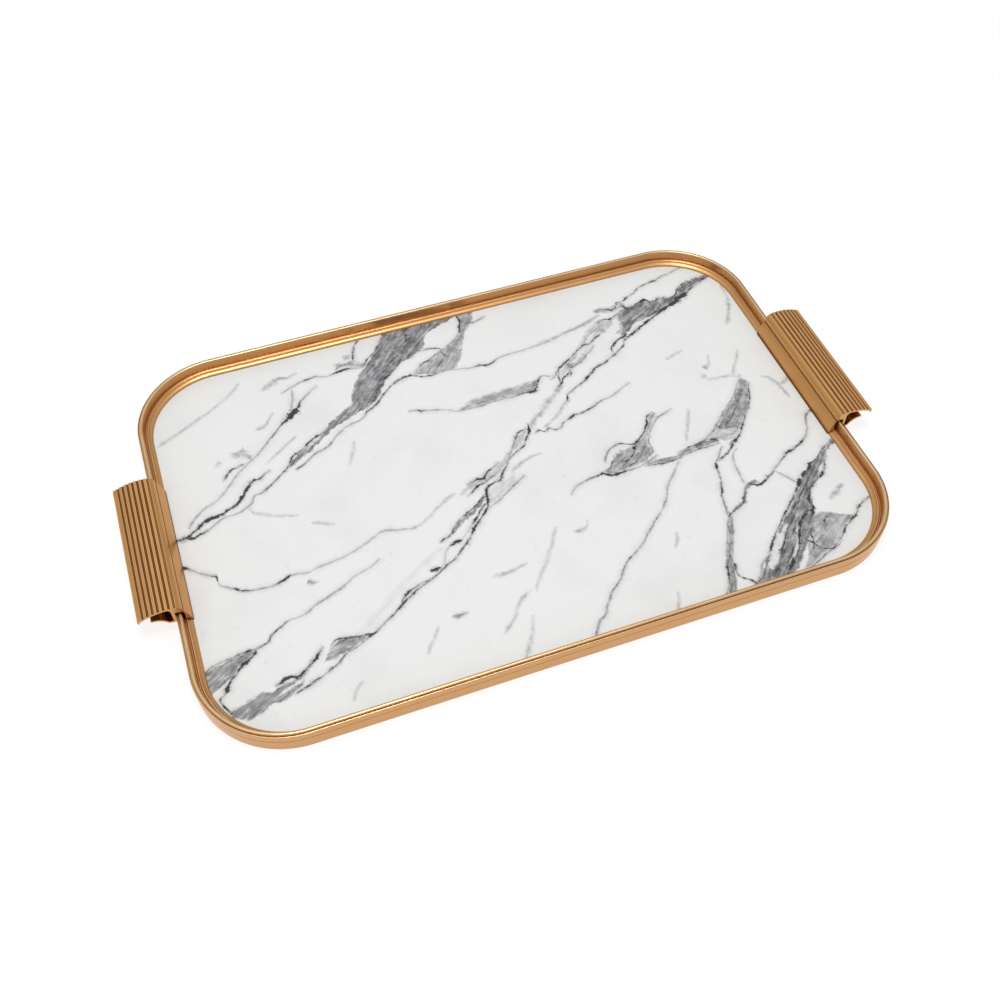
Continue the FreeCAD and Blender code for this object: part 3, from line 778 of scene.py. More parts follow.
CRACKS = (
    # The left side's black line, the line that leaves it for the big band, and the hairline under that band.
    [(-209, 10.5, 1.2), (-200, 10, 1.1), (-195, 12.5, .9), (-190, 16, 1.0), (-186, 18.3, 1.2),
     (-180, 19.5, 1.0), (-174, 21, 1.0), (-168, 24, .8), (-163, 28, .8), (-160, 32, .85),
     (-157, 36, .65), (-153, 39.5, .7),
     (-149, 39.5, .6), (-146, 41.5, .35), (-141, 44, 0)],
    [(-201, 10, .6), (-197, 8, .8), (-192, 9.5, .6), (-186, 11.5, .4), (-180, 15, .3), (-170, 17, .25),
     (-163, 19, .2), (-158, 22, .25), (-154, 27, .4), (-150, 28, .45), (-147, 29.5, .5), (-144, 31.5, .5),
     (-140, 34, .3), (-136, 38, .4), (-131, 42, .5), (-128, 46, .5), (-123, 52, .7), (-118, 54.5, .5),
     (-112, 58.5, .7), (-106, 62, .8), (-103, 63, .2), (-98, 67, 0)],
    [(-126, 38.5, 0), (-122, 40, .4), (-117, 43, .45), (-110, 48, .4), (-103, 50, .4), (-98, 54, .35),
     (-92, 59, .3), (-85, 63, .3), (-78, 65, .25), (-73, 68, .3), (-70, 71, .5), (-65, 73, .4), (-61, 76, .6),
     (-57, 81, .45), (-52, 85, .4), (-47, 89, .45), (-42, 91.5, .6), (-35, 92.5, .75), (-30, 91, .7),
     (-27, 89, .6), (-22, 88, .6), (-15, 88.5, .4), (-12, 89, .15), (0, 87, .15), (9, 85.5, .3), (14, 86, .6),
     (17, 84.5, .65), (23, 85.3, .4), (28, 87.5, .17), (40, 89, .17), (55, 90, .14), (72, 92.5, .16),
     (85, 96, .13), (100, 99, .12), (108, 103, 0)],
    # Round the top of the big band.
    [(-57, 139, .5), (-61, 134, .45), (-64, 129, .4), (-66, 123, .8), (-66, 119, .3), (-64, 115, 0)],
    [(13, 139, .6), (14.5, 132, .7), (13.5, 127, .6), (12, 124, .9), (10.5, 120, .45), (6, 115.5, .35),
     (0, 111, .45), (-4, 109, .35), (-8, 107.5, .2), (-13, 104.5, .3), (-18, 102, .35), (-23, 100, .6),
     (-26, 97.5, .3), (-31, 93.5, 0)],
    [(-7.5, 107.5, 0), (-6.6, 105, 1.0), (-6, 103, 1.0), (-5.2, 101, 0)],
    [(-13, 95, 0), (-11, 97, .5), (-8, 100, .3), (-3, 105, .3), (2, 109, .3), (8, 113, .3), (13, 117, 0)],
    [(-70, 73, 0), (-66, 76, .4), (-63.5, 78, .6), (-59, 86, .3), (-53, 92, .3), (-50, 96, .8), (-47, 98, .7),
     (-43, 101, .4), (-38, 106, .4), (-33, 109, .5), (-29, 108.5, .3), (-26, 110, 0)],
    [(-60, 113, 0), (-58, 116, .7), (-55, 118.5, .4), (-51, 122, .5), (-48.5, 125, 1.0), (-46, 128, .5),
     (-44, 131, .4), (-40, 137, .3)],
    [(-34, 112, 0), (-31, 118, .3), (-28, 123, .45), (-26, 129, .5), (-24, 134, .35), (-20, 139, .4)],
    [(-27, 112, .1), (-20, 112.3, .4), (-12, 112, .4), (-6, 109.5, .2), (-3, 108, 0)],
    [(14, 131, 0), (19, 127, .3), (26, 127.3, .45), (33, 129.5, 0)],
    # Small marks at the upper left.
    [(-198, 16, .1), (-190, 24.5, .2), (-183, 29, .17), (-175, 33.5, .14), (-168, 40, .2), (-163, 46, .22),
     (-157, 51.5, .2), (-150, 56, .2), (-145, 60, .22), (-140, 65, .27), (-135, 70, .32), (-130, 75, .4),
     (-126, 79, .7), (-122, 82, 1.3), (-118.5, 85.5, 2.0), (-115.5, 87, 2.2), (-113, 89.5, .9),
     (-110.5, 93, .45), (-107.5, 96.5, .25), (-103, 100, .1), (-96, 105, 0)],
    [(-117, 89, 0), (-116, 93, .25), (-114, 98, .25), (-113, 104, .15), (-112.5, 107, 0)],
    [(-120, 106, 0), (-115, 108.3, .3), (-110, 110, .35), (-106, 111.5, .4), (-101, 112.5, .5),
     (-96, 113.5, .6), (-92, 112.3, .3), (-85, 111, .15), (-81, 112, .5), (-77, 113, .9), (-73, 113.3, .8),
     (-70, 112.5, .4), (-66, 111.5, .3), (-60, 111.5, 0)],
    [(-80, 115, 0), (-76, 117, .4), (-72, 117, .4), (-68, 119, .5), (-64, 117, 0)],
    [(-171, 45.5, 0), (-168.5, 48.5, .6), (-166, 51, .6), (-163.5, 53, .65), (-160.5, 53.2, .3),
     (-158, 54.3, .4), (-155, 54.5, 0)],
    # The main diagonal: its upper crack at the lower left, and the long line up to the middle.
    [(-172, -106.5, 0), (-168, -105, .8), (-164, -103.7, 1.0), (-159, -104.6, 1.2), (-155, -103.3, .9),
     (-151.5, -100.7, .7), (-148, -98, .8), (-145.5, -95.5, .8), (-143, -92.8, .5), (-141, -91, 0)],
    [(-163, -115.5, 0), (-160, -114.2, .6), (-155, -112.5, .7), (-150, -110.6, .65), (-145, -109, .3),
     (-140, -106.5, .4), (-135, -104, .55), (-131, -101, .3), (-126, -98.8, .3), (-121, -97, .5),
     (-118, -95.5, .4), (-114, -93.3, .7), (-110, -91.8, .5), (-105, -88.7, .3), (-100, -86, .35),
     (-95, -83, .45), (-91, -80, .7), (-87.5, -77.5, .8), (-84, -75.7, .5), (-80, -73, .5), (-75, -70.5, .45),
     (-71, -69, .5), (-66, -67, .55), (-61, -64, .5), (-57, -61.8, .7), (-52, -60, .4), (-48, -56.5, .5),
     (-44, -53, .5), (-41.5, -51, .75), (-38, -47.5, .6), (-34.5, -42.8, 1.0), (-30, -39, .6),
     (-25, -34.5, .5), (-21.5, -30.8, .5), (-20.5, -28, .6), (-18.7, -23, .9), (-17.8, -19, .9),
     (-15.5, -15.5, .6), (-11, -13.2, .6), (-6.5, -12.3, .8), (-4, -8.5, .8), (0, -4.3, .5), (3, -.5, .55),
     (6, 2.5, .4), (10, 5, .35), (14, 7.2, .4), (17, 8.8, .8), (19, 11.5, .45), (22.5, 15.5, .5),
     (24.7, 18.7, .9), (25.5, 22, .6), (26, 25.5, 0)],
    [(-137, -92, 0), (-132, -89.5, .45), (-125, -91, .5), (-118, -92, .6), (-111, -93, 0)],
    [(-91, -79, 0), (-89.5, -76.5, .8), (-86, -74, .6), (-81, -71, .5), (-76, -69.3, .4), (-71, -68.6, .4),
     (-67, -67.5, 0)],
    [(-69, -64, 0), (-66.5, -63.3, .8), (-63, -62.6, .8), (-61, -62, 0), (-53.5, -51, 0), (-50.5, -49.8, .6),
     (-48, -48.6, .9), (-45.5, -48, .9), (-43.5, -47.5, 0), (-36, -41, 0), (-33, -38.3, .6),
     (-31, -36.5, .8), (-28, -33.5, .5), (-25, -30.5, .4), (-23, -28.6, .8), (-21, -27, 0)],
    [(-57, -45.5, 0), (-54.5, -44, .5), (-50, -42.5, .4), (-46.5, -38.3, .5), (-42, -34.3, .5),
     (-38, -32, .6), (-33, -29.3, .5), (-27, -26, .5), (-22.5, -22.5, .6), (-20, -20, 0)],
    [(-31, -18, 0), (-27, -16.5, .3), (-22, -13.3, .7), (-19, -12.3, .6), (-13, -9.5, .2), (-11, -8.5, .5),
     (-7, -7, .25), (-2, -3, .2), (3, 1, .3), (8, 7, .3), (12, 12.5, .35), (15.5, 17.5, .5),
     (18, 20.3, .6), (20.5, 21, .5), (25, 23, 0)],
    [(-28, -9, 0), (-23, -8, .3), (-19, -7.5, .8), (-16.5, -7.3, 1.2), (-14, -5.5, .5), (-12, -3.5, .8),
     (-9, -2.5, .3), (-3, 1, 0)],
    [(-22, -31.5, 0), (-17, -29.5, .25), (-12, -27, .2), (-5, -23, .25), (0, -20, .25), (5, -17, .12),
     (9, -14, 0)],
    # The lines above it, to the upper right corner.
    [(27, 15.5, 0), (30, 17.2, .5), (33, 15.5, .6), (35, 15.3, .2), (37.5, 17, .5), (40, 15.5, .25),
     (42, 14.3, .5), (44.5, 15, .2), (47.5, 18.2, .6), (50, 19.5, .15), (53, 20.3, .6), (57, 21.8, .7),
     (60, 21.6, .55), (63.5, 21.7, .5), (68, 23, .5), (73, 24.8, .5), (77.5, 27, .5), (81, 28, .3),
     (86, 29, .15), (92, 31, .12), (97, 33.5, .2), (101, 35, .15), (104, 36, 0)],
    [(57.5, 35, 0), (59, 38, .55), (61, 41, .5), (65, 43, .4), (70, 45.2, .45), (75, 48, .5), (79, 51, .7),
     (83.5, 54, .8), (87, 56.8, .6), (91, 58.2, .7), (95, 59, .4), (100, 61.5, .4), (104.5, 64, .6),
     (109, 66.7, .45), (113.5, 69, .5), (115, 72, .5), (117.5, 75, .45), (121, 76.8, .9), (125, 79, 1.0),
     (130, 81.7, 1.0), (134.5, 84, 1.1), (138, 86, .9), (143, 88, .8), (148, 90, 1.0), (152.5, 92.3, 1.3),
     (158, 95, 1.4), (164, 97, 1.6), (170, 99.5, 1.7), (175, 102, 1.6), (179, 104.6, 1.2), (183, 107, .6),
     (188, 109.3, .5), (194, 111.8, .4), (201, 114.5, .3), (209, 117, .3)],
    [(104, 65.5, 0), (104.5, 69, .35), (106, 71.7, .5), (110, 74.3, .6), (114, 76.8, .7), (118, 78.3, .9),
     (121, 81.5, .5), (125, 85, .3), (130, 88, .3), (137, 89, 0)],
    [(54, 46, 0), (57, 48.5, .45), (61, 51.8, .6), (63, 55, .4), (66, 56.8, .8), (68.5, 58.5, .5),
     (71, 61.5, .5), (74, 62.7, .5), (77, 64.3, .4), (82, 67, .4), (86, 70.5, .3), (89, 72, .2), (94, 77, 0)],
    [(54.5, 57.5, 0), (58, 58.5, .3), (61, 62, .45), (65, 65.3, .5), (69, 67.5, .6), (74, 71, .5),
     (79, 74, .6), (84, 77.5, .55), (88, 79.5, .6), (93, 80, .3), (97, 82.3, .45), (101, 85, .5),
     (104, 87, .3), (107, 89, 0)],
    [(60, 50.5, 0), (60.5, 56, .4), (61.5, 60, .3), (63, 63, 0)],
    [(68, 55, 0), (70, 59, .6), (70.5, 64, .4), (70, 68, 0)],
    [(106, 96.5, 0), (110, 98, .4), (114.5, 97.5, .8), (118, 98.5, .3), (124, 101, .3), (129, 103, .5),
     (133, 104.3, .3), (137, 104.5, .4), (142, 105.5, .7), (145.5, 106.5, .9), (148, 105.3, .9),
     (150, 103.5, .4), (153, 103.5, .5), (156, 105.3, .6), (158.5, 104.3, .5), (162, 104.5, .4),
     (166, 103, .5), (170, 104.8, .5), (172, 107.5, .5), (175, 110.5, .5), (179, 112.8, .5),
     (184, 114.3, .5), (190, 115.2, .4), (209, 116, .3)],
    [(108, 107, 0), (113, 108, .3), (118, 106.5, .6), (121.5, 105.5, .6), (125, 108.5, .8), (127, 110.5, .7),
     (131, 111, .35), (134.5, 113, .8), (138, 114.5, .4), (144, 117.5, .35), (150, 121, .5),
     (157, 122.7, .55), (164, 124, .45), (171, 126, .25), (180, 128.5, .2), (190, 131, .15)],
    [(127, 110, 0), (129, 106.5, .5), (130.7, 103.5, 1.0), (132, 101.5, 0)],
    # The smear in the middle.
    [(-44, 62, 0), (-39, 61, .2), (-36, 59, .8), (-33, 58.3, .2), (-27, 57, .35), (-24, 56.3, .3),
     (-18, 54, .1), (-12, 51, .15), (0, 50, .3), (12, 51.5, .3), (25, 50.8, .4), (34, 51.5, .5),
     (38, 51.5, .9), (41.5, 50.8, .5), (43.5, 51, 0)],
    [(39.5, 49.5, 0), (42, 52, .6), (44, 55, .8), (47, 59, .6), (50, 62, .5), (53, 60.8, .3), (57, 60, 0)],
    # The shapes right of the middle.
    [(31, -39, 0), (35, -35, .25), (39, -32.7, .3), (45, -31.3, .35), (50, -30.6, .6), (55, -29.7, .8),
     (58.5, -31.3, .8), (62, -33, .8), (66.5, -33.3, .9), (71, -33, .8), (75, -33.3, .4), (80, -32.5, .3),
     (88, -30.5, .3), (95, -28, 0)],
    [(58, -29, 0), (61.5, -27.5, .6), (65.5, -23.5, .5), (70, -20.5, .5), (76, -18.5, .3), (81, -18, 0)],
    [(61, -22, 0), (64, -17, .3), (68, -13, .3), (73, -11.3, .4), (78, -11.3, .4), (82, -13.7, .4),
     (85, -13.8, .8), (89.5, -11.3, .6), (93.5, -8.5, .5), (97, -5, .6), (99.3, -1.5, 1.0), (101, 2, .8),
     (104, 5.7, .4), (107, 7, 0)],
    [(81.2, -17.6, 0), (83, -17.3, 1.4), (84.8, -17, 0)],
    [(88, -27, 0), (93, -24.5, .4), (94, -21, .3), (94.5, -15, .4), (97, -10.5, .4), (100.5, -5.5, .3),
     (105, -1, .3), (108, 1.5, 0)],
    [(66, -27, 0), (70, -25, .4), (76, -25, .5), (81, -21.5, .6), (84, -17.5, .5), (87, -14, 0)],
    [(72, -31, 0), (77, -29, .5), (83, -26.5, .5), (88, -21, .5), (92, -17, .3), (95, -12, 0)],
    [(107, 1, 0), (111, 2.5, .4), (114, 3.6, .3), (118, 4.8, .2), (121, 5.5, 0)],
    [(84, -33, 0), (92, -34.5, .3), (100, -35.2, .6), (106, -34.8, .5), (114, -33, .35), (122, -32, .4),
     (130, -32, .3), (137, -31.5, 0)],
    [(108, -31, 0), (114, -29.5, .35), (120, -28.3, .6), (126, -27.7, .6), (130, -26.5, .7),
     (134, -27.8, .6), (138, -28, 0)],
    # The wedge at the right, and what hangs from it.
    [(127, -28, 0), (131, -25.7, .4), (136, -22.5, .3), (141, -18.5, .4), (146, -14.5, .3), (150, -10.5, .5),
     (155, -6, .35), (160, -1.8, .35), (165, 2.5, .4), (169, 7, .4), (172.5, 11.5, .4), (175, 14.5, .3),
     (177, 18, 0)],
    [(142, -36, 0), (147, -33, .6), (151.5, -31, .7), (155, -27.5, .4), (158, -23.5, .5), (163, -17, .35),
     (168, -11.5, .3), (172, -5.5, .4), (175, 1, .5), (177.3, 6, .5), (178.5, 10, .4), (176, 15, 0)],
    [(132, -27.5, 0), (139, -27.8, .3), (144, -27.5, .25), (148, -28.5, .35), (152, -26.5, .4),
     (155, -24, 0)],
    [(139, -20, 0), (143, -19.5, .3), (147, -20.5, .25), (150.5, -24, .3), (153, -27, 0)],
    [(150, -19, 0), (155, -15, .4), (160, -9, .4), (165, -3, .4), (171, 3, .4), (174, 9, 0)],
    [(152, -31, 0), (148, -33.5, .8), (143, -37, .7), (138, -41.3, .6), (133, -44, .5), (129, -46, 0)],
    [(137, -35, 0), (134, -38.5, .5), (131.5, -42.5, .5), (128.5, -45.5, .6), (126.5, -49, .9),
     (125.5, -54, .5), (123.5, -61, .45), (121, -67, .5), (119, -71, .4), (118, -76, .3), (117, -81, .35),
     (116, -86, .2), (115.5, -90, 0)],
    [(145, -40, 0), (141, -43.5, .25), (139, -49, .25), (137.3, -56, .3), (137, -62, .3), (136.5, -67, 0)],
    [(115, -88, 0), (118, -86, .8), (123, -83.5, .6), (128, -81, .6), (131, -77.5, .3), (135, -72.5, .3),
     (139, -69.5, .4), (141.5, -70.8, .6), (145, -71.3, .8), (149, -70, .7), (153, -67.3, .5),
     (158, -65, .6), (162.5, -61.7, .4), (168, -58, .5), (172, -55.3, .6), (176.5, -53.3, .8),
     (181, -52, .6), (186, -49.5, .7), (190, -47.3, .3), (195, -42.5, .15), (199, -34, .2),
     (203, -28.5, .5), (209, -25, .3)],
    [(160, -65, 0), (164, -71, .2), (167, -76, .15), (168, -79, 0)],
    [(117, -86, 0), (113, -92, .3), (108, -101, .35), (103, -110.5, .35), (99, -118, .4), (97, -124.5, .8),
     (94, -131, .3), (88, -138, .25)],
    [(118, -87, 0), (115, -94, .3), (110.5, -103, .3), (107, -110, .3), (103.5, -117, .3), (103, -121, .7),
     (102, -126, .4), (104.5, -131, .5), (108, -133.5, .6), (110, -138, 0)],
    # The mass at the front right corner.
    [(107, -140, 0), (112, -134, .3), (116, -129.5, .4), (119, -125, .5), (124, -121.5, .3),
     (129, -116.5, .5), (132, -113, .6), (138, -107, .4), (144, -101.5, .4), (150, -96, .5), (156, -91, .5),
     (162, -85.5, .5), (166, -81.5, .7), (170, -77.3, 1.3), (174, -74.3, 1.1), (177, -71.3, 1.1),
     (179, -71, .4), (182, -68.3, 1.5), (184, -67, .8), (188, -65.5, .8), (192, -62.8, .6), (197, -59, .4),
     (203, -55.5, .5), (209, -52, .3)],
    [(143, -137, 0), (150, -135, .4), (158, -131.5, .3), (165, -129.3, .4), (170, -126, .3),
     (173, -123.7, .6), (177, -120.8, .8), (180, -118, .9), (182, -117, .3), (186, -113.8, .8),
     (189, -112.3, .6), (192, -110, .3), (195, -107.5, .9), (199, -105.3, .5), (205, -102.3, .4),
     (210, -100, .3)],
    [(128, -139, 0), (132, -134, .6), (136.5, -130.5, 1.4), (138, -126, .8), (141, -121.5, .6),
     (146, -117, .4), (150, -112, .5), (154, -106, .7), (158, -102.5, .7), (164, -99.5, .8),
     (167.5, -99, 1.1), (168, -95, .5), (169, -91.3, 1.0), (172, -87, .5), (177, -82, .4), (183, -79, .5),
     (187, -77, 1.2), (190, -74, .3), (193, -69, .4), (197, -64, 0)],
    [(139, -129, 0), (142.5, -125, .6), (146, -120.5, .7), (149.5, -114, .9), (152, -110, .9),
     (155.5, -105.5, .8), (158, -102.5, 1.1), (160.5, -102, .8), (163, -101, 0)],
    [(118, -139, 0), (126, -131, .4), (131, -125, .4), (137, -117, .6), (143, -110, .5), (150, -102, .4),
     (157, -94, .5), (163, -89, .4), (170, -83, .4), (176, -78, .3), (180, -74, 0)],
    [(150, -133, 0), (153, -127, .4), (156, -120, .5), (158, -112, .4), (162, -106, .6), (165.5, -102, .9),
     (166, -98, .6), (170, -93, 0)],
    [(152, -118, 0), (155, -122, .6), (157.5, -126.5, .5), (162, -129, .4), (168, -129, .2), (173, -126, 0)],
    [(160, -124, 0), (166, -116, .4), (170, -109, .6), (175, -106, .3), (180, -108, 0)],
    # The front left corner, and the grey lines above it.
    [(-177, -80.5, 0), (-178.5, -82.5, .8), (-182, -85, .6), (-186.5, -88, 1.0), (-190, -90.7, .5),
     (-194, -94, .6), (-196.5, -97.5, .8), (-198, -100.5, 1.3), (-200, -103, .3), (-202, -104.5, .6),
     (-201.5, -108, .4), (-200, -112, .7), (-198.5, -116, .4), (-197, -121, 0)],
    [(-209, -86, .3), (-203, -83.7, .4), (-196, -82, .3), (-188, -80.7, .35), (-181, -79.7, .5),
     (-177, -80.2, .3), (-174, -79.5, .25), (-170.5, -78, .4), (-167.5, -74.5, .5), (-164, -72.5, .35),
     (-160, -71, .4), (-156.5, -69, .4), (-151, -68.3, .2), (-145, -66.7, .25), (-138, -63, .25),
     (-131, -60.3, .2), (-124, -57.7, .25), (-117, -54.5, .17), (-110, -51, .14), (-103, -49, .1),
     (-95, -45, 0)],
    [(-209, -9, .3), (-205.5, -12, .7), (-202, -15, .3), (-198, -18.3, .2), (-194, -21.3, .2),
     (-190, -24, .3), (-189, -26, .5), (-188.6, -29, .2), (-187.5, -32, .2), (-183, -35, .2),
     (-178.5, -37.5, .6), (-174, -40, .5), (-169, -41.3, .35), (-161, -42, .35), (-156, -41, .45),
     (-151.5, -39.8, .7), (-147, -38.6, .5), (-143, -38.6, .2), (-138, -39.5, .25), (-132, -38.3, .15),
     (-120, -37, .08), (-105, -33, .1), (-95, -29, .13), (-86, -26, .13), (-78, -28, .1), (-68, -30, 0)],
    # The grey line that runs up from the front edge.
    [(6, -138, .25), (9, -133, .3), (13, -128.3, .3), (17, -125.8, .4), (20, -121, .4), (23, -117.5, .3),
     (27, -113, .45), (31, -109.7, .3), (35, -106.3, .25), (38.5, -102, .35), (41.5, -98.7, .4),
     (46, -95, .5), (50, -92.7, .35), (55, -89.7, .35), (60, -86, .3), (65, -81, .25), (69, -77.3, .4),
     (74, -73, .3), (79, -68.5, .2), (84, -63.3, .4), (87, -59.5, .3), (91, -53, .15), (96, -47, .15),
     (101, -42, .12), (106, -37, 0)],
)

# Soft grey marks and faint streaks.
SMUDGES = (
    [(-132, 113, 0), (-128, 115, 1.5), (-124, 118, 2.0), (-119, 120, 1.2), (-112, 119, .6), (-106, 121, 0)],
    [(-163, 66, 0), (-159, 64, 2.0), (-156, 64, 2.6), (-153, 61, 1.6), (-150, 57, 0)],
    [(-174, 57.5, 0), (-171, 60, .9), (-169, 61, 0)],
    [(-143, 80, 0), (-139, 80.5, 1.3), (-136, 81.5, .8), (-133, 86, .4), (-129, 90.5, 0)],
    [(-72.5, 121.5, 0), (-70, 123.5, 1.8), (-67.5, 125.5, 0)],
    [(-81, 120, 0), (-76, 118.5, 1.2), (-70, 117, 1.5), (-63, 114, 1.8), (-56, 112, 0)],
    [(-205, 87, .5), (-190, 94.5, .7), (-178, 101, .6), (-163, 109, .4), (-152, 117, .5), (-145, 125, 0)],
    [(-85, 49, 0), (-88, 41, .5), (-93, 31, 0)],
    [(-160, 18, 0), (-155, 12, .4), (-145, 7.5, .4), (-133, 3, 0)],
    [(-141, 51, 0), (-130, 59, .5), (-119, 66, 0)],
    [(-71, -31, 0), (-60, -26.5, .4), (-50, -20, .4), (-41, -14.5, .8), (-37, -13, 0)],
    [(-35, -80, 0), (-31, -80, .9), (-25, -80, .7), (-20, -79, .7), (-13, -77, 0)],
    [(-67, -98, 0), (-64, -98, 1.3), (-60, -98, .8), (-57, -98, 0)],
    [(-14, -97, 0), (-10, -90, .4), (-5, -84, .6), (-1, -79, .5), (1, -76, .5), (6, -70, .5), (9, -65, .6),
     (13, -58, 0)],
    [(-42, -118, 0), (-37, -114, .7), (-32, -109, .5), (-27, -102, .4), (-22, -98, .7), (-17, -96, 0)],
    [(-36, -138, .6), (-32, -131, .8), (-27, -123, .5), (-22, -112, 0)],
    [(22, -66, 0), (26, -66, .8), (30, -65, .4), (33, -60, 0)],
    [(118, -23, 0), (121, -16, .5), (126, -8, .5), (131, 1, 0)],
    [(75, -97, 0), (78, -93, .6), (81, -87, 0)],
    [(58, -139, .6), (61, -131, .5), (63, -126, 0)],
    [(136, 47.5, 0), (141, 49.5, .6), (150, 52, 0)],
    [(151.3, 22.8, 0), (153, 24.4, 2.0), (154.8, 26, 0)],
    [(154, 37, 0), (157, 32, .9), (160, 33, .8), (165, 41, 0)],
    [(154, 21, 0), (162, 20, .5), (170, 19, .6), (175, 16, 0)],
    [(172, 18, 0), (178, 27, .5), (186, 39, 0)],
    [(191, 65, 0), (194, 68.5, 1.1), (197, 74, .5), (201, 82, .8), (204, 92, .6), (205, 103, 0)],
    [(60, 92, 0), (75, 94, .5), (92, 98, .5), (110, 104, 0)],
    [(190, 12, 0), (195, 8, .8), (198, -1, .9), (199, -12, 0)],
    [(199, 0, 0), (204, 3, 1.0), (209, 5, 0)],
    [(181, -96, 0), (185, -94, 1.3), (190, -91, 1.4), (195, -88, 0)],
    [(-126, -5, 0), (-120, -8, .6), (-113, -11, 0)],
    [(-138, -44, 0), (-139, -46, 1.0), (-136, -48, 1.0), (-133, -48, 0)],
    [(27, 20, 0), (30, 26, 1.6), (38, 32, 1.2), (46, 39, 1.2), (54, 45, 1.2), (60, 49, 0)],
    [(35, 19, 0), (45, 24, .6), (54, 32, .8), (60, 37, 0)],
    [(2, -10, 0), (8, -6, .8), (14, -3, .5), (26, -1, 0)],
    [(-87, -116, 0), (-82, -109, .4), (-76, -101, 0)],
    [(-134, -130, 0), (-130, -124, .4), (-126, -120, 0)],
)

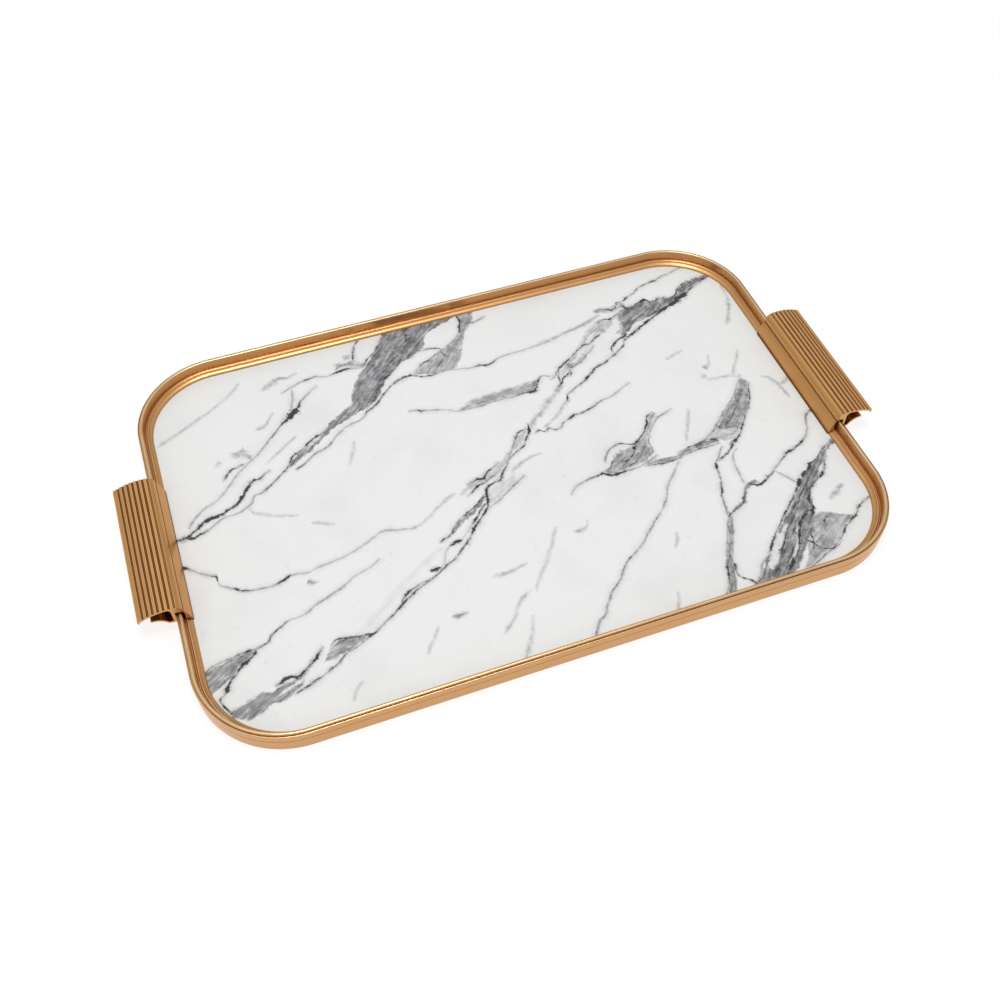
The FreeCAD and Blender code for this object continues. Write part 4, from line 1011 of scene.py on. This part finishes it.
# Broad filled shapes: (darkness, edge softness, upper edge, lower edge).
FILLS = (
    (.60, 1.2,
     [(-134, 39), (-131, 42), (-128, 46.5), (-123, 52), (-118, 55), (-112, 58), (-105, 62), (-100, 66),
      (-95, 71), (-88, 76), (-80, 81), (-77, 88), (-72, 98), (-66, 106), (-60, 112), (-55, 118), (-48, 126),
      (-44, 132), (-38, 141)],
     [(-134, 38.8), (-130, 40), (-125, 43), (-118, 47), (-110, 52), (-105, 56), (-98, 61), (-90, 66),
      (-82, 69), (-72, 73), (-62, 77), (-58, 82), (-54, 88), (-50, 93), (-44, 99), (-38, 105), (-32, 108),
      (-25, 110), (-18, 114), (-14, 122), (-10, 127), (-2, 130), (5, 133), (14, 137)]),
    (.42, 1.5,
     [(-33, 93), (-28, 96), (-23, 100.5), (-16, 103), (-8, 108), (0, 111.5), (5, 115.5), (10, 121),
      (12, 126), (14, 132), (15, 138)],
     [(-33, 92), (-15, 88), (-4, 88), (2, 92), (5, 97), (8, 105), (12, 112), (15, 119), (20, 124),
      (24, 130), (28, 140)]),
    (.46, 3.0,
     [(-16, 51), (-8, 56), (0, 59), (20, 60.5), (38, 61), (47, 61)],
     [(-16, 50), (0, 49.5), (12, 50.5), (25, 50.2), (34, 50.5), (41, 50), (45, 55), (49, 60.5)]),
    (.62, 1.2,
     [(116, 79), (120, 87), (121, 94), (122, 99.5), (128, 102.5), (135, 104.5), (142, 106), (150, 105.5),
      (158, 105), (165, 104), (170, 105), (173, 109), (177, 112), (183, 114.5), (190, 116), (209, 117)],
     [(116, 78.5), (120, 79.5), (125, 82), (130, 86.5), (140, 89), (150, 91), (158, 95), (165, 98),
      (172, 101), (180, 105.5), (187, 109), (195, 111.5), (209, 115)]),
    (.34, 3.0,
     [(62, 60), (70, 69), (78, 75), (85, 82), (92, 90), (98, 95.5), (105, 99), (112, 99), (121, 99.5)],
     [(62, 55), (70, 59), (78, 63), (86, 70), (95, 79), (103, 86), (110, 83), (117, 80), (121, 82)]),
    (.30, 2.0,
     [(105, 108), (112, 111), (120, 110), (128, 112), (132, 106)],
     [(105, 107), (112, 104), (120, 102), (128, 103), (132, 104)]),
    (.40, 1.5,
     [(58, -29), (62, -26), (66, -20), (70, -14), (76, -12), (82, -14.5), (87, -12.5), (93, -8.5),
      (98, -3), (102, 3), (106, 7)],
     [(58, -29.5), (62, -32.5), (70, -32.5), (78, -31.5), (88, -30), (94, -26.5), (93.5, -20), (95, -13),
      (99, -8), (104, -1), (109, 4)]),
    (.46, 1.0,
     [(86, -31.5), (95, -30.5), (105, -31), (113, -29.3), (120, -28), (128, -26.8), (136, -26.5)],
     [(86, -33.5), (95, -35.3), (105, -35.2), (114, -33), (124, -32), (136, -31.5)]),
    (.50, 1.0,
     [(140, -20), (143, -17), (147, -14), (150, -10), (155, -6), (160, -2), (166, 3), (170, 8),
      (173, 12.5), (175, 15.5)],
     [(140, -21), (150, -24), (158, -23.5), (163, -17), (168, -11.5), (172, -5.5), (175, 1), (177.5, 6),
      (178, 11), (175.5, 16)]),
    (.22, 1.5,
     [(128, -27.5), (133, -25), (138, -21), (143, -17), (150, -18), (157, -21)],
     [(128, -28.5), (137, -30), (145, -33.5), (151, -31.5), (155, -27.5), (158, -23.5)]),
    (.66, 1.0,
     [(150, -32), (141, -34.5), (136, -36), (133, -40), (129, -45)],
     [(150, -33), (144, -37), (140, -41), (136, -44.5), (129, -46)]),
    (.48, 1.0,
     [(118.5, -85), (116.5, -93), (113, -100), (109.5, -107), (105.5, -114), (103.5, -120),
      (101.5, -127), (99, -133), (95, -140)],
     [(117, -84), (114, -90), (110, -97), (106, -104.5), (102, -111.5), (98.5, -118), (95.5, -125),
      (93, -131), (88, -140)]),
    (.55, 1.2,
     [(117, -85.5), (123, -81.5), (128, -78), (132, -73), (137, -68), (143, -66), (146, -68.5)],
     [(117, -87), (124, -84.5), (130, -81.5), (134, -76), (139, -72), (143, -71.5), (146, -70)]),
    (.60, 1.4,
     [(100, -140), (112, -132.5), (118, -127), (122, -122.5), (127, -118.5), (133, -112), (140, -105),
      (147, -99), (153, -94), (160, -87), (166, -80.5), (171, -75), (176, -71), (182, -67.5), (190, -63),
      (200, -57), (210, -51)],
     [(130, -142), (141, -133), (150, -124), (158, -117), (163, -110), (167, -103), (169, -98),
      (172, -93), (178, -86), (183, -80), (189, -75), (194, -68), (200, -62), (210, -57)]),
    (.40, 1.6,
     [(140, -137), (147, -128), (152, -120), (158, -112), (163, -104), (170, -101), (176, -105.5),
      (183, -108.5), (190, -111.5)],
     [(140, -138), (150, -135), (158, -131.5), (165, -129), (172, -124.5), (178, -120), (184, -116),
      (190, -112)]),
    (.52, 1.5,
     [(-210, -86), (-203, -83.5), (-196, -82), (-188, -80.5), (-181, -79.5), (-176, -80.5)],
     [(-210, -104), (-204, -99.5), (-199, -97), (-195, -94.5), (-190, -91), (-185, -87.5), (-180, -84),
      (-176, -81.5)]),
    (.56, 1.8,
     [(-200, -113), (-194, -111), (-187, -109.5), (-180, -107), (-173, -108), (-168, -106), (-160, -105),
      (-152, -102.5), (-147, -98), (-142, -92)],
     [(-200, -115), (-195, -120), (-189, -122.5), (-182, -121), (-175, -118.5), (-166, -117),
      (-159, -113), (-154, -107), (-150, -102), (-145, -97), (-142, -92.5)]),
    (.50, 1.5,
     [(-144, -101), (-140, -95), (-136, -91.5), (-130, -89), (-122, -90), (-115, -92), (-109, -92)],
     [(-144, -102), (-136, -102), (-128, -99.5), (-121, -97.5), (-114, -94), (-109, -92.5)]),
    (.60, 1.0,
     [(-57, -45), (-51, -42.5), (-46, -37.5), (-40, -32.5), (-33, -29), (-27, -25.5), (-21, -20.5)],
     [(-57, -46), (-49, -43.5), (-43, -39), (-37, -36), (-31, -33), (-25, -28.5), (-20, -23)]),
    (.30, 2.5,
     [(-35, -13), (-27, -8), (-18, -4), (-10, -1), (-3, 1.5), (3, 6), (8, 11), (13, 15), (17, 20),
      (24, 23.5)],
     [(-33, -17), (-24, -14), (-16, -12.5), (-8, -10), (-3, -6), (2, -1), (7, 3), (14, 7.5), (19, 12),
      (24.5, 20)]),
    (.15, 2.5,
     [(-22, -29), (-17, -20), (-10, -14), (-2, -11.5), (4, -10)],
     [(-22, -31), (-12, -27), (-4, -23), (2, -19), (4, -13)]),
    (.12, 5.0,
     [(-122, -88), (-108, -78), (-92, -66), (-75, -55), (-60, -46)],
     [(-122, -92), (-108, -88), (-92, -76), (-75, -64), (-60, -56)]),
)

# Pale islands inside the fills.
ISLANDS = (
    [(-116, 52, 0), (-112, 55.5, 1.0), (-108, 58.5, 1.2), (-104, 60, 0)],
    [(122, -131, 0), (127, -124, 2.6), (134, -115, 2.6), (141, -109, 1.6), (147, -104, 0)],
    [(133, -131, 0), (141, -124, 1.0), (147, -117, 1.2), (152, -108, .9), (156, -104, 0)],
    [(170, -92, 0), (176, -86, 1.3), (183, -81, 1.4), (188, -73, 1.0), (193, -68, 0)],
    [(72, 66, 0), (78, 69, 1.5), (86, 76, 1.8), (95, 84, 1.4), (101, 90, 0)],
    [(-172, -113, 0), (-164, -110, .8), (-156, -107, .8), (-150, -103, 0)],
    [(103, 79, 0), (109, 84, 2.0), (114, 88, 2.6), (118, 93, 2.0), (119, 97, 0)],
    [(64, -18, 0), (69, -15.5, 2.2), (76, -14.5, 2.0), (82, -16, 0)],
    [(195, -72, 0), (200, -66, 3.0), (210, -60, 3.5)],
)


def deepest(net, place, lines, fray):
    """How far inside the nearest of several lines a place lies."""
    depth = -END_DROP
    for points in lines:
        depth = net.math("MAXIMUM", depth, stroke(net, place, points, fray))
    return depth


def warped_place(net, flat):
    """The print's coordinates in millimetres, pushed about by noise; the third number is 1."""
    place = flat
    for fineness, reach in ((0.09, ROUGH_WARP), (0.55, FINE_WARP)):
        push = net.vector("SUBTRACT", net.noise(flat, fineness, 3.0, 0.6).outputs["Color"], (0.5, 0.5, 0.5))
        place = net.vector("ADD", place, net.vector("SCALE", push, scale=reach))
    return net.vector("ADD", net.vector("MULTIPLY", place, (1.0, 1.0, 0.0)), (0.0, 0.0, 1.0))


def streaks_along(net, place, bearing):
    """Long fine streaks that run at a bearing."""
    turned = net.add("Mapping", {
        "Vector": place,
        "Rotation": (0, 0, bearing),
        "Scale": (STREAK_LENGTH, STREAK_WIDTH, 1.0),
    }, vector_type="TEXTURE")
    return net.fit(net.noise(turned, 1.0, 5.0, 0.62, 0.35).outputs[0], 0.3, 0.7, 0.28, 1.16)


def fill_tone(net, flat, place, blotch, fray):
    """Darkness of the filled shapes: streaked along each one, ragged at the edge and clear on the islands."""
    streaks = {bearing: streaks_along(net, place, bearing) for bearing in STREAK_BEARINGS}
    ragged = net.fit(net.noise(flat, 0.2, 4.0, 0.6).outputs[0], 0.3, 0.7, *RAGGED_EDGE)
    cloudy = net.fit(blotch, 0.35, 0.65, -0.05, 0.4)
    tone = 0.0
    for darkness, soft, upper, lower in FILLS:
        shape, way = patch(net, place, upper, lower, soft, ragged)
        nearest = min(STREAK_BEARINGS, key=lambda bearing: abs(math.remainder(bearing - way, math.pi)))
        texture = net.math("ADD", streaks[nearest], cloudy)
        shape = net.math("MULTIPLY", net.math("MULTIPLY", shape, darkness), texture)
        tone = net.math("MAXIMUM", tone, shape)
    islands = deepest(net, place, ISLANDS, fray)
    return net.math("MULTIPLY", tone, net.fit(islands, -0.4, 0.8, 1.0, 0.12))


def smudge_tone(net, place, blotch, fray):
    """Darkness of the faint, wide, cloudy lines."""
    smudges = deepest(net, place, SMUDGES, fray)
    tone = net.fit(smudges, -2.0, 2.6, 0.0, 0.46, smooth=True)
    return net.math("MULTIPLY", tone, net.fit(blotch, 0.32, 0.66, 0.4, 1.25))


def crack_tones(net, place, blotch, fray):
    """Darkness of the thin lines themselves, of the halo that hugs them and of the fringe beyond it."""
    cracks = deepest(net, place, CRACKS, fray)
    thinning = net.fit(net.noise(place, 0.07, 2.0, 0.5).outputs[0], 0.4, 0.62, 0.0, 0.3)
    thinned = net.math("SUBTRACT", cracks, thinning)
    line = net.fit(thinned, 0.08, 0.74, 0.0, 1.0)
    line = net.math("MULTIPLY", line, net.fit(blotch, 0.3, 0.7, 0.75, 1.1))
    halo = net.fit(thinned, -1.5, 1.3, 0.0, 0.46, smooth=True)
    fringe = net.fit(cracks, -3.8, 0.0, 0.0, 0.12)
    fringe = net.math("MULTIPLY", fringe, net.fit(blotch, 0.3, 0.65, 0.0, 1.3))
    return line, halo, fringe


def marble_material():
    """Printed marble under a clear satin surface: white ground, grey fills, cracks and faint smudges."""
    material, net = new_material("marble_laminate_surface")
    flat = net.vector("SCALE", net.add("TexCoord").outputs["Object"], scale=1 / MM)
    place = warped_place(net, flat)
    fray = net.fit(net.noise(flat, 0.32, 4.0, 0.65).outputs[0], 0.3, 0.7, *FRAY)
    blotch = net.noise(place, 0.16, 4.0, 0.6, 0.6).outputs[0]
    fills = fill_tone(net, flat, place, blotch, fray)
    smudges = smudge_tone(net, place, blotch, fray)
    line, halo, fringe = crack_tones(net, place, blotch, fray)
    haze = net.fit(net.noise(flat, 0.022, 3.0, 0.55).outputs[0], 0.5, 0.75, 0.0, MOST_HAZE)
    soft_tone = net.math("MAXIMUM", net.math("MAXIMUM", fills, smudges), halo)
    soft_tone = net.math("ADD", soft_tone, net.math("ADD", haze, fringe), clamp=True)
    rest = net.math("SUBTRACT", 1.0, net.math("MULTIPLY", soft_tone, CRACK_SINK))
    tone = net.math("MULTIPLY_ADD", line, rest, soft_tone, clamp=True)
    emboss = net.noise(flat, 1.6, 2.0, 0.5).outputs[0]
    bump = net.add("Bump", {"Strength": 0.06, "Distance": 0.0002, "Height": emboss})
    shader = net.add("BsdfPrincipled", {
        "Base Color": net.ramp(tone, MARBLE_TONES),
        "Roughness": net.fit(net.noise(flat, 0.05, 2.0).outputs[0], 0.3, 0.7, 0.26, 0.36),
        "Normal": bump,
    })
    net.output(shader)
    return material


def metal_material(name, base, pale, groove, coat, highlight_and_wear):
    """Satin anodised aluminium with fine lines from the die.

    It is darkened with painted shade where shelter runs from the first to the second number of groove, and
    painted pale on proud, upward-facing edges as a highlight that partly also stands for rubbed wear.
    """
    material, net = new_material(name)
    way = net.add("UVMap", uv_map=UV).outputs[0]
    shut = net.add("Attribute", attribute_name="shelter", attribute_type="GEOMETRY").outputs["Fac"]
    lined = net.add("Mapping", {"Vector": way, "Scale": (0.012, 2.6, 1.0)})
    lines = net.noise(lined, 1.0, 2.0, 0.6).outputs[0]
    streaked = net.add("Mapping", {"Vector": way, "Scale": (0.02, 0.9, 1.0)})
    streaks = net.noise(streaked, 1.0, 3.0, 0.6).outputs[0]
    spot = net.vector("SCALE", net.add("TexCoord").outputs["Object"], scale=1 / MM)
    grain = net.noise(spot, 3.0, 2.0, 0.6).outputs[0]
    cloud = net.noise(spot, 0.05, 3.0, 0.55).outputs[0]
    tone = net.math("ADD", net.fit(streaks, 0.3, 0.7, -0.14, 0.14), net.fit(cloud, 0.3, 0.7, -0.3, 0.3))
    colour = net.mix(net.fit(tone, -0.8, 0.8, 0.0, 1.0), base, pale)
    proud = net.add("Attribute", attribute_name="pride", attribute_type="GEOMETRY").outputs["Fac"]
    # Painted highlight: proud, upward-facing edges turn pale gold, partly also standing for rubbed wear.
    highlight_and_wear_mask = net.fit(proud, 0.12, 0.34, 0.0, highlight_and_wear, smooth=True)
    highlight_and_wear_mask = net.math("MULTIPLY", highlight_and_wear_mask, net.fit(cloud, 0.3, 0.7, 0.7, 1.1))
    colour = net.mix(highlight_and_wear_mask, colour, HIGHLIGHT_AND_WORN_GOLD)
    # Painted shade: sheltered points in grooves, crevices and near the panel sink towards this darker gold.
    dark = tuple(channel * share for channel, share in zip(base, PAINTED_SHADE_SHARE))
    colour = net.mix(net.fit(shut, *groove, 0.0, 0.95, smooth=True), colour, dark)
    height = net.math("ADD", lines, net.math("MULTIPLY", grain, 0.3))
    bump = net.add("Bump", {"Strength": 0.08, "Distance": 0.00005, "Height": height})
    roughness = net.math("ADD", net.fit(lines, 0.3, 0.7, 0.3, 0.36), net.math("MULTIPLY", grain, 0.05))
    shader = net.add("BsdfPrincipled", {
        "Base Color": colour,
        "Metallic": 1.0,
        "Specular Tint": EDGE_GLINT,
        "Roughness": roughness,
        "Coat Weight": net.fit(shut, *groove, coat, 0.0),
        "Coat Roughness": 0.08,
        "Normal": bump,
    })
    net.output(shader)
    return material


def cut_metal_material(name, base, pale):
    """A sawn and anodised end: fine curved saw marks and a paler grain."""
    material, net = new_material(name)
    way = net.add("UVMap", uv_map=UV).outputs[0]
    lined = net.add("Mapping", {
        "Vector": way,
        "Rotation": (0, 0, math.radians(24)),
        "Scale": (0.4, 7.0, 1.0),
    })
    marks = net.noise(lined, 1.0, 3.0, 0.65, 0.3).outputs[0]
    grain = net.noise(way, 11.0, 2.0, 0.6).outputs[0]
    colour = net.mix(net.fit(marks, 0.3, 0.7, 0.0, 1.0), base, pale)
    height = net.math("ADD", marks, net.math("MULTIPLY", grain, 0.4))
    bump = net.add("Bump", {"Strength": 0.3, "Distance": 0.00006, "Height": height})
    shader = net.add("BsdfPrincipled", {
        "Base Color": colour,
        "Metallic": 1.0,
        "Roughness": net.fit(marks, 0.3, 0.7, 0.36, 0.5),
        "Normal": bump,
    })
    net.output(shader)
    return material


def mill_material():
    """Bare extruded aluminium for the joint keys."""
    material, net = new_material("mill_aluminium_surface")
    spot = net.vector("SCALE", net.add("TexCoord").outputs["Object"], scale=1 / MM)
    drawn = net.add("Mapping", {"Vector": spot, "Scale": (4.0, 0.03, 4.0)})
    lines = net.noise(drawn, 1.0, 4.0, 0.7).outputs[0]
    colour = net.mix(lines, linear(176, 178, 182), linear(206, 207, 209))
    bump = net.add("Bump", {"Strength": 0.2, "Distance": 0.00005, "Height": lines})
    shader = net.add("BsdfPrincipled", {
        "Base Color": colour,
        "Metallic": 1.0,
        "Roughness": net.fit(lines, 0.3, 0.7, 0.32, 0.45),
        "Normal": bump,
    })
    net.output(shader)
    return material


def board_material():
    """Pressed wood-fibre board: short tangled fibres and dark flecks."""
    material, net = new_material("fibreboard_surface")
    spot = net.vector("SCALE", net.add("TexCoord").outputs["Object"], scale=1 / MM)
    fibres = net.noise(spot, 1.4, 5.0, 0.7, 1.5).outputs[0]
    clouds = net.noise(spot, 0.08, 3.0).outputs[0]
    colour = net.mix(fibres, linear(104, 76, 48), linear(168, 132, 92))
    colour = net.mix(net.fit(clouds, 0.35, 0.65, 0.0, 0.35), colour, linear(130, 96, 62))
    flecks = net.fit(net.noise(spot, 0.9, 2.0).outputs[0], 0.68, 0.74, 0.0, 0.8)
    colour = net.mix(flecks, colour, linear(66, 46, 30))
    bump = net.add("Bump", {"Strength": 0.3, "Distance": 0.0002, "Height": fibres})
    shader = net.add("BsdfPrincipled", {"Base Color": colour, "Roughness": 0.72, "Normal": bump})
    net.output(shader)
    return material


def backing_material():
    """A pale balancing sheet with a fine pressed leather-like grain and faint scuffs."""
    material, net = new_material("backing_surface")
    spot = net.vector("SCALE", net.add("TexCoord").outputs["Object"], scale=1 / MM)
    cell = {"Vector": spot, "Scale": 0.8, "Randomness": 1.0}
    cells = net.add("TexVoronoi", cell, feature="DISTANCE_TO_EDGE")
    pits = net.fit(cells.outputs[0], 0.0, 0.18, 0.0, 1.0, smooth=True)
    fine = net.noise(spot, 3.5, 3.0, 0.6).outputs[0]
    clouds = net.noise(spot, 0.03, 3.0, 0.55).outputs[0]
    colour = net.mix(net.fit(clouds, 0.35, 0.65, 0.0, 1.0), linear(206, 203, 196), linear(217, 215, 209))
    colour = net.mix(net.fit(pits, 0.0, 1.0, 0.28, 0.0), colour, linear(172, 168, 160))
    drawn = net.add("Mapping", {
        "Vector": spot,
        "Rotation": (0, 0, math.radians(17)),
        "Scale": (0.02, 1.3, 1.0),
    })
    scuffs = net.fit(net.noise(drawn, 1.0, 2.0, 0.5, 0.6).outputs[0], 0.66, 0.72, 0.0, 0.25)
    colour = net.mix(scuffs, colour, linear(188, 184, 176))
    height = net.math("ADD", pits, net.math("MULTIPLY", fine, 0.3))
    bump = net.add("Bump", {"Strength": 0.35, "Distance": 0.00015, "Height": height})
    shader = net.add("BsdfPrincipled", {
        "Base Color": colour,
        "Roughness": net.fit(fine, 0.3, 0.7, 0.5, 0.68),
        "Normal": bump,
    })
    net.output(shader)
    return material


def table_material():
    """A white table, lit a little from below so that shadows stay faint."""
    material, net = new_material("white_table")
    diffuse = net.add("BsdfDiffuse", {"Color": (TABLE_GREY, TABLE_GREY, TABLE_GREY, 1.0)})
    glow = net.add("Emission", {"Color": (1.0, 1.0, 1.0, 1.0), "Strength": TABLE_GLOW})
    both = net.add("AddShader", {0: diffuse.outputs[0], 1: glow.outputs[0]})
    net.output(both)
    return material


# Light and camera

def view_way(azimuth, elevation):
    """The way from the tray to a viewer at an azimuth and elevation."""
    return Vector((
        math.sin(azimuth) * math.cos(elevation),
        -math.cos(azimuth) * math.cos(elevation),
        math.sin(elevation),
    ))


def make_camera():
    data = bpy.data.cameras.new("camera")
    data.lens = LENS
    data.sensor_width = SENSOR
    data.clip_start = 0.01
    camera = bpy.data.objects.new("camera", data)
    back = view_way(AZIMUTH, ELEVATION)
    camera.location = AIM + back * DISTANCE
    camera.rotation_mode = "QUATERNION"
    camera.rotation_quaternion = (-back).to_track_quat("-Z", "Y")
    bpy.context.scene.collection.objects.link(camera)
    bpy.context.scene.camera = camera


def make_light(name, azimuth, elevation, distance, width, depth, energy):
    """A soft area light that faces the tray."""
    data = bpy.data.lights.new(name, "AREA")
    data.shape = "RECTANGLE"
    data.size = width
    data.size_y = depth
    data.energy = energy
    lamp = bpy.data.objects.new(name, data)
    back = view_way(math.radians(azimuth), math.radians(elevation))
    lamp.location = back * distance
    lamp.rotation_mode = "QUATERNION"
    lamp.rotation_quaternion = (-back).to_track_quat("-Z", "Y")
    bpy.context.scene.collection.objects.link(lamp)


def make_sky():
    """Soft surroundings, brighter overhead than at the horizon."""
    world = bpy.data.worlds.new("studio")
    world.use_nodes = True
    net = Net(world.node_tree)
    way = net.add("TexCoord").outputs["Generated"]
    height = net.add("SeparateXYZ", {0: way}).outputs[2]
    lower = net.fit(height, 0.0, 0.5, SKY_LOW, SKY_MIDDLE, smooth=True)
    strength = net.math("ADD", lower, net.fit(height, 0.5, 1.0, 0.0, SKY_TOP - SKY_MIDDLE))
    sky = net.add("Background", {"Color": (1.0, 1.0, 1.0, 1.0), "Strength": strength})
    net.add("OutputWorld", {"Surface": sky.outputs[0]})
    bpy.context.scene.world = world


def make_table():
    mesh = bmesh.new()
    bmesh.ops.create_grid(mesh, x_segments=1, y_segments=1, size=TABLE_HALF)
    data = bpy.data.meshes.new("table")
    mesh.to_mesh(data)
    mesh.free()
    data.materials.append(table_material())
    table = bpy.data.objects.new("table", data)
    bpy.context.scene.collection.objects.link(table)


# The tray

def make_rim():
    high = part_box("rim_back")[1]
    panel_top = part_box("marble_laminate")[1].z / MM
    outer = round_corners(outline_points(rim_steps(high.z / MM, panel_top)), EDGE_ROUND)
    hollow = outline_points(hollow_steps())
    stations = rim_stations(high.x / MM, high.y / MM)
    # The rim's gold gets painted shade in its deep recesses and a painted highlight, partly rubbed wear, on
    # its proud edges.
    materials = (
        metal_material("gold_rim_surface", *RIM_GOLD, groove=(0.56, 1.16), coat=0.5, highlight_and_wear=0.75),
        cut_metal_material("gold_rim_cut", *SAWN_GOLD),
    )
    for name, node, turned in (
        ("rim_back_profile", "rim_back", False),
        ("rim_front_profile", "rim_front", True),
    ):
        piece = sweep_section(name, (outer, hollow), panel_edge(panel_top), stations, materials)
        stand_for(piece, node, turned)


def make_handles():
    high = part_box("handle_right")[1]
    rim_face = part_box("rim_back")[1].x / MM
    panel_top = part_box("marble_laminate")[1].z / MM
    steps = grip_steps(high.x / MM - rim_face, high.z / MM, panel_top)
    outline = round_corners(outline_points(steps), EDGE_ROUND)
    stations = straight_stations(rim_face, high.y / MM)
    # The handles' gold gets painted shade in rib grooves and crevices and a painted highlight, partly rubbed
    # wear, on their proud edges.
    materials = (
        metal_material("gold_handle_surface", *HANDLE_GOLD, groove=(0.03, 0.27), coat=0.3, highlight_and_wear=0.35),
        cut_metal_material("gold_handle_cut", *SAWN_GOLD),
    )
    for name, node, turned in (
        ("handle_right_profile", "handle_right", False),
        ("handle_left_profile", "handle_left", True),
    ):
        piece = sweep_section(name, (outline,), panel_edge(panel_top), stations, materials)
        stand_for(piece, node, turned)


def dress(node, material):
    """Give a CAD node its surface."""
    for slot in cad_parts[node].material_slots:
        slot.material = material


def main():
    dress("marble_laminate", marble_material())
    dress("panel_board", board_material())
    dress("backing_sheet", backing_material())
    keys = mill_material()
    dress("joint_key_left", keys)
    dress("joint_key_right", keys)
    make_rim()
    make_handles()
    make_table()
    make_sky()
    make_light("key", azimuth=-40, elevation=84, distance=1.4, width=0.5, depth=0.36, energy=8.3)
    make_camera()
    bpy.context.scene.view_settings.view_transform = "Standard"


main()
bpy.context.view_layer.update()
